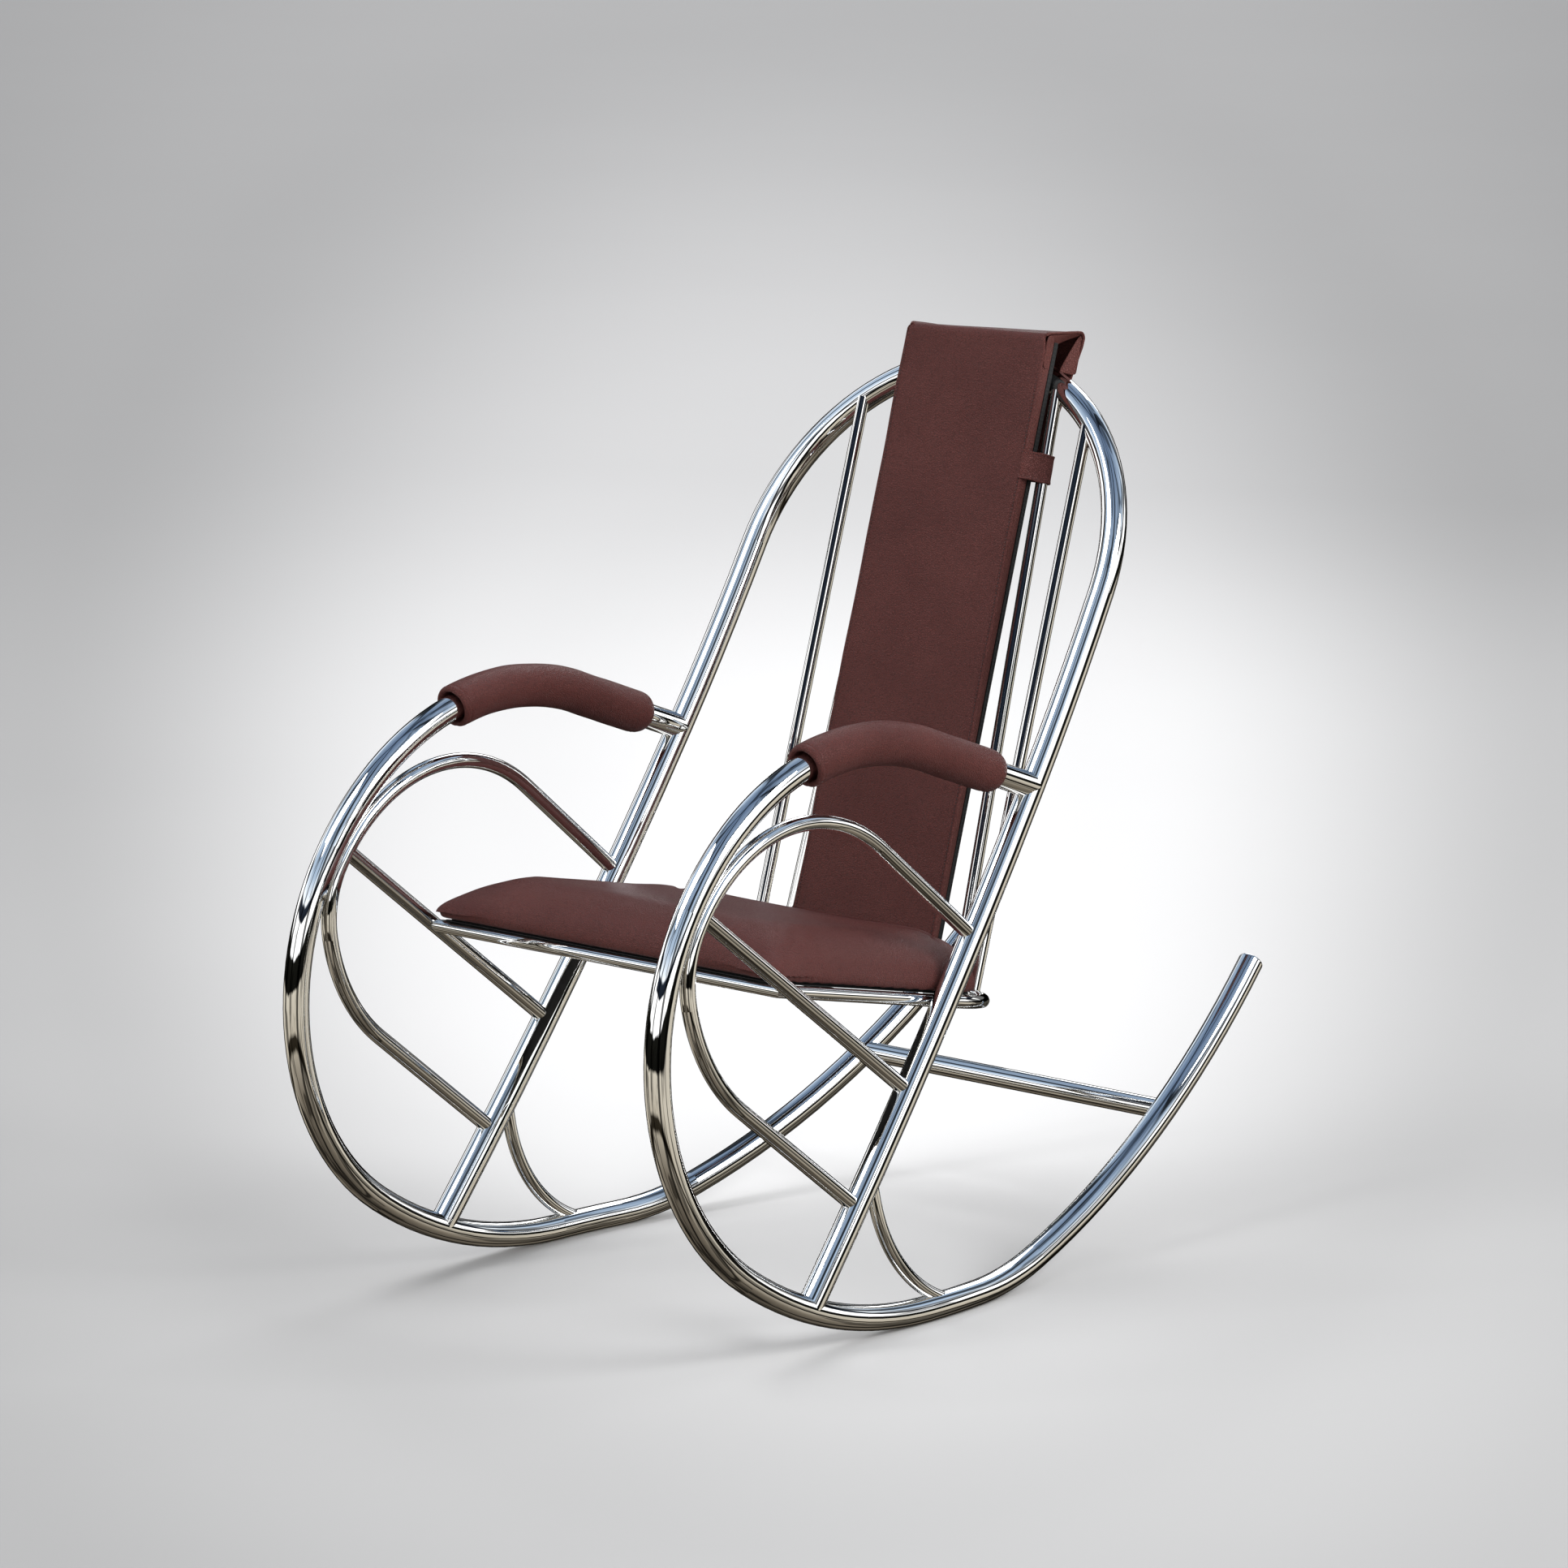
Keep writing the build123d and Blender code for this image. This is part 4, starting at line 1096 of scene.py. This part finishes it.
def lining(name, node, outline, place, low, high, hang):
    """Thin stapled lining with soft edges that hangs a little between its staples."""
    insets = [0.10, 0.085, 0.07, 0.055, 0.04, 0.028, 0.018, 0.010, 0.004, 0.0012, 0.0003]
    profile = [(inset, low) for inset in insets] + [(0.0, (low + high) / 2)]
    profile += [(inset, high) for inset in reversed(insets)]
    rings = []
    for inset, depth in profile:
        ring = []
        for x, y in outline(inset):
            free = min(1.0, inset / 0.02) if depth == low else 0.0
            sag = hang * free * (0.6 + 0.4 * noise.noise(Vector((x * 18, y * 18, 2.6))))
            ring.append(place(x, y, depth - sag))
        rings.append(ring)
    return piece(name, loft(name, rings), LINING_CLOTH, (node,))


def linings():
    """Linings under the seat's board and behind the back's board."""
    low, high = extent("seat_lining", seat_local)
    edge = SEAT_HALF_WIDTH - high[0]
    lining("seat_underside", "seat_lining", lambda inset: seat_outline(edge + inset), seat_point, low[2], high[2], 0.0012)
    low, high = extent("back_lining", back_local)

    def back_outline(inset):
        return rounded_outline(high[0] - inset, low[1] + inset, high[1] - inset, 0.004, 0.004, 0.0006, sides=90)

    lining("back_underside", "back_lining", back_outline, back_point, low[2], high[2], 0.0010)


def board():
    """Board of the seat with softened edges, inside the lip of the cushion."""
    floor, thickness = 0.0094, 0.0090
    profile = [(0.030, 0), (0.0014, 0), (0.0004, 0.0004), (0, 0.0014)]
    profile += [(inset, thickness - up) for inset, up in reversed(profile)]
    rings = []
    for inset, up in profile:
        outline = seat_outline(BOARD_INSET + 0.0003 + inset)
        rings.append([seat_point(x, y, floor + up) for x, y in outline])
    return piece("board", loft("board", rings), BOARD, ("seat_board",))


def dress_nodes():
    """Better finishes for the solids that stay."""
    for name, node in NODES.items():
        finish = STEEL
        if name == "seat_screws":
            finish = SCREW
        elif name in ("seat_board", "back_board"):
            finish = BOARD
        elif "lining" in name:
            finish = LINING_CLOTH
        elif "foam" in name:
            finish = FOAM
        elif name == "hoop_wrap":
            finish = LEATHERETTE
        node.data.materials.clear()
        node.data.materials.append(finish)


# Studio

# Dark upright bars between the pale walls: start and width as shares of a turn, and how much light is left
WALL_BARS = ((0.06, 0.030, 0.04), (0.21, 0.014, 0.10), (0.37, 0.045, 0.03), (0.56, 0.012, 0.10), (0.71, 0.040, 0.05), (0.90, 0.020, 0.08))
CAMERA_GROUND = 10.03
CAMERA_HEIGHT = 2.555


def world_light():
    """Soft studio light; the steel sees a clear sky, pale walls, a dark horizon and a sandy ground."""
    world = bpy.data.worlds.new("studio")
    bpy.context.scene.world = world
    tree = Tree(world)
    way = tree.add("TexCoord").outputs["Generated"]
    split = tree.add("SeparateXYZ", {0: way})
    drift = tree.add("TexNoise", {"Vector": way}, Scale=1.7, Detail=2.0).outputs[0]
    height = tree.math("ADD", split.outputs[2], tree.math("MULTIPLY", tree.math("SUBTRACT", drift, 0.5), 0.10))
    place = tree.math("ADD", tree.math("MULTIPLY", height, 0.5), 0.5)
    seen = tree.ramp(place, [
        (0.00, (0.06, 0.050, 0.038)),
        (0.14, (0.20, 0.170, 0.130)),
        (0.24, (0.46, 0.410, 0.330)),
        (0.255, (0.020, 0.016, 0.010)),
        (0.285, (0.030, 0.024, 0.016)),
        (0.300, (0.58, 0.520, 0.420)),
        (0.415, (0.75, 0.690, 0.580)),
        (0.425, (0.006, 0.006, 0.005)),
        (0.525, (0.010, 0.010, 0.008)),
        (0.535, (1.60, 1.60, 1.60)),
        (0.640, (1.70, 1.70, 1.71)),
        (0.648, (0.010, 0.014, 0.022)),
        (0.690, (0.020, 0.028, 0.045)),
        (0.700, (1.25, 1.33, 1.42)),
        (0.780, (0.52, 0.66, 0.85)),
        (1.00, (0.14, 0.21, 0.34)),
    ])
    patches = tree.add("TexNoise", {"Vector": way}, Scale=2.6, Detail=3.0, Distortion=0.6).outputs[0]
    shade = tree.ramp(patches, [(0.40, 0.16), (0.47, 1.0)])
    seen = tree.mix(0.85, seen, shade, "MULTIPLY")
    round_angle = tree.math("ARCTAN2", split.outputs[1], split.outputs[0])
    turned = tree.math("ADD", tree.math("MULTIPLY", round_angle, 0.5 / math.pi), 0.5)
    bent = tree.math("ADD", turned, tree.math("MULTIPLY", tree.math("SUBTRACT", drift, 0.5), 0.05))
    bars = []
    for start, width, dark in WALL_BARS:
        bars += [(start - 0.004, 1.0), (start, dark), (start + width, dark), (start + width + 0.004, 1.0)]
    seen = tree.mix(0.92, seen, tree.ramp(bent, bars), "MULTIPLY")
    # Dark backdrop in the reflections, which draws the tubes' edges
    facing = tree.add("VectorMath", {0: way}, operation="DOT_PRODUCT")
    facing.inputs[1].default_value = (-0.657, 0.729, -0.191)
    flag = tree.ramp(facing.outputs["Value"], [(0.70, 1.0), (0.78, 0.10)])
    seen = tree.mix(1.0, seen, flag, "MULTIPLY")
    rays = tree.add("LightPath")
    plain = tree.mix(rays.outputs["Is Glossy Ray"], (0.80, 0.80, 0.805), seen)
    shader = tree.add("Background", {"Color": plain}, Strength=1.0)
    tree.add("OutputWorld", {"Surface": shader.outputs[0]})


def floor():
    """Pale floor that the reflections look past, with a pool of light and a gradient painted into its colour."""
    mesh = bpy.data.meshes.new("floor")
    grid = bmesh.new()
    rings = [0.0, 0.5, 1.0, 2.0, 4.0, 8.0, 16.0, 32.0, 64.0]
    centre = grid.verts.new((0, 0, 0))
    before = None
    for reach in rings[1:]:
        row = [
            grid.verts.new((reach * math.cos(math.tau * i / 96), reach * math.sin(math.tau * i / 96), 0))
            for i in range(96)
        ]
        for i in range(96):
            k = (i + 1) % 96
            if before:
                grid.faces.new((before[i], row[i], row[k], before[k]))
            else:
                grid.faces.new((centre, row[i], row[k]))
        before = row
    grid.to_mesh(mesh)
    grid.free()
    material, tree, shader, place = principled("floor")
    ahead = tree.add("VectorMath", {0: place}, operation="DOT_PRODUCT")
    ahead.inputs[1].default_value = (-math.sin(CAMERA_AZIMUTH), math.cos(CAMERA_AZIMUTH), 0)
    across = tree.add("VectorMath", {0: place}, operation="DOT_PRODUCT")
    across.inputs[1].default_value = (math.cos(CAMERA_AZIMUTH), math.sin(CAMERA_AZIMUTH), 0)
    distance = tree.math("MAXIMUM", tree.math("ADD", ahead.outputs["Value"], CAMERA_GROUND), 2.0)
    slope = tree.math("DIVIDE", CAMERA_HEIGHT, distance)
    rows = tree.math("MULTIPLY", tree.math("SUBTRACT", slope, math.tan(CAMERA_ELEVATION)), 10.3)
    columns = tree.math("MULTIPLY", tree.math("DIVIDE", across.outputs["Value"], distance), 10.65)
    square = tree.math("ADD", tree.math("MULTIPLY", rows, rows), tree.math("MULTIPLY", columns, columns))
    radius = tree.math("MULTIPLY", tree.math("SQRT", square), 0.5)
    # Painted light: a pool of light round the chair in the floor's base colour, laid out from the camera's
    # place, and a gradient lighter towards the far rows and darker towards the near ones
    painted_light_pool = tree.ramp(radius, [(0.0, 0.84), (0.20, 0.76), (0.5, 0.45), (0.72, 0.38), (1.0, 0.36)], "EASE")
    painted_row_gradient = tree.ramp(tree.math("ADD", tree.math("MULTIPLY", rows, 0.4), 0.5), [(0.1, 1.36), (0.5, 1.0), (0.9, 0.90)])
    tone = tree.add("TexNoise", {"Vector": place}, Scale=0.8, Detail=3.0).outputs[0]
    grey = tree.ramp(tone, [(0.3, (0.985, 0.985, 0.990)), (0.7, (1.0, 1.0, 1.005))])
    lit = tree.mix(1.0, tree.mix(1.0, painted_light_pool, painted_row_gradient, "MULTIPLY"), grey, "MULTIPLY")
    tree.links.new(lit, shader.inputs["Base Color"])
    shader.inputs["Roughness"].default_value = 0.9
    shader.inputs["Specular IOR Level"].default_value = 0.1
    ground = bpy.data.objects.new("floor", mesh)
    mesh.materials.append(material)
    bpy.context.scene.collection.objects.link(ground)
    ground.visible_glossy = False


def lamp(name, place, target, size, power, glossy=False):
    """Square soft light."""
    data = bpy.data.lights.new(name, "AREA")
    data.shape = "SQUARE"
    data.size = size
    data.energy = power
    made = bpy.data.objects.new(name, data)
    bpy.context.scene.collection.objects.link(made)
    made.location = place
    made.rotation_mode = "QUATERNION"
    made.rotation_quaternion = (Vector(target) - Vector(place)).to_track_quat("-Z", "Y")
    made.visible_glossy = glossy
    made.visible_camera = False


def camera():
    """Camera at the photograph's viewing angle."""
    data = bpy.data.cameras.new("camera")
    data.sensor_fit = "HORIZONTAL"
    data.sensor_width = CAMERA_SENSOR
    data.lens = CAMERA_LENS
    data.clip_end = 200.0
    made = bpy.data.objects.new("camera", data)
    bpy.context.scene.collection.objects.link(made)
    back = Vector((
        math.sin(CAMERA_AZIMUTH) * math.cos(CAMERA_ELEVATION),
        -math.cos(CAMERA_AZIMUTH) * math.cos(CAMERA_ELEVATION),
        math.sin(CAMERA_ELEVATION),
    ))
    made.location = CAMERA_TARGET + back * CAMERA_DISTANCE
    made.rotation_mode = "QUATERNION"
    made.rotation_quaternion = (-back).to_track_quat("-Z", "Y")
    bpy.context.scene.camera = made


random.seed(4)
bpy.context.scene.view_settings.view_transform = "Standard"
camera()
dress_nodes()
seat_cushion()
back_pad()
back_stitches()
arm_pad(1, "arm_pad_left")
arm_pad(-1, "arm_pad_right")
hood()
hood_hems()
hood_gussets()
ears()
sleeve()
board()
linings()
straps()
world_light()
floor()
lamp("key", (-0.9, -2.2, 3.4), (0, 0, 0.5), 1.7, 66.0, True)
lamp("fill", (3.4, 0.6, 2.5), (0, 0, 0.6), 2.0, 125.0, True)
lamp("rim", (-1.9, 3.6, 3.2), (0, 0, 0.7), 2.4, 50.0, True)
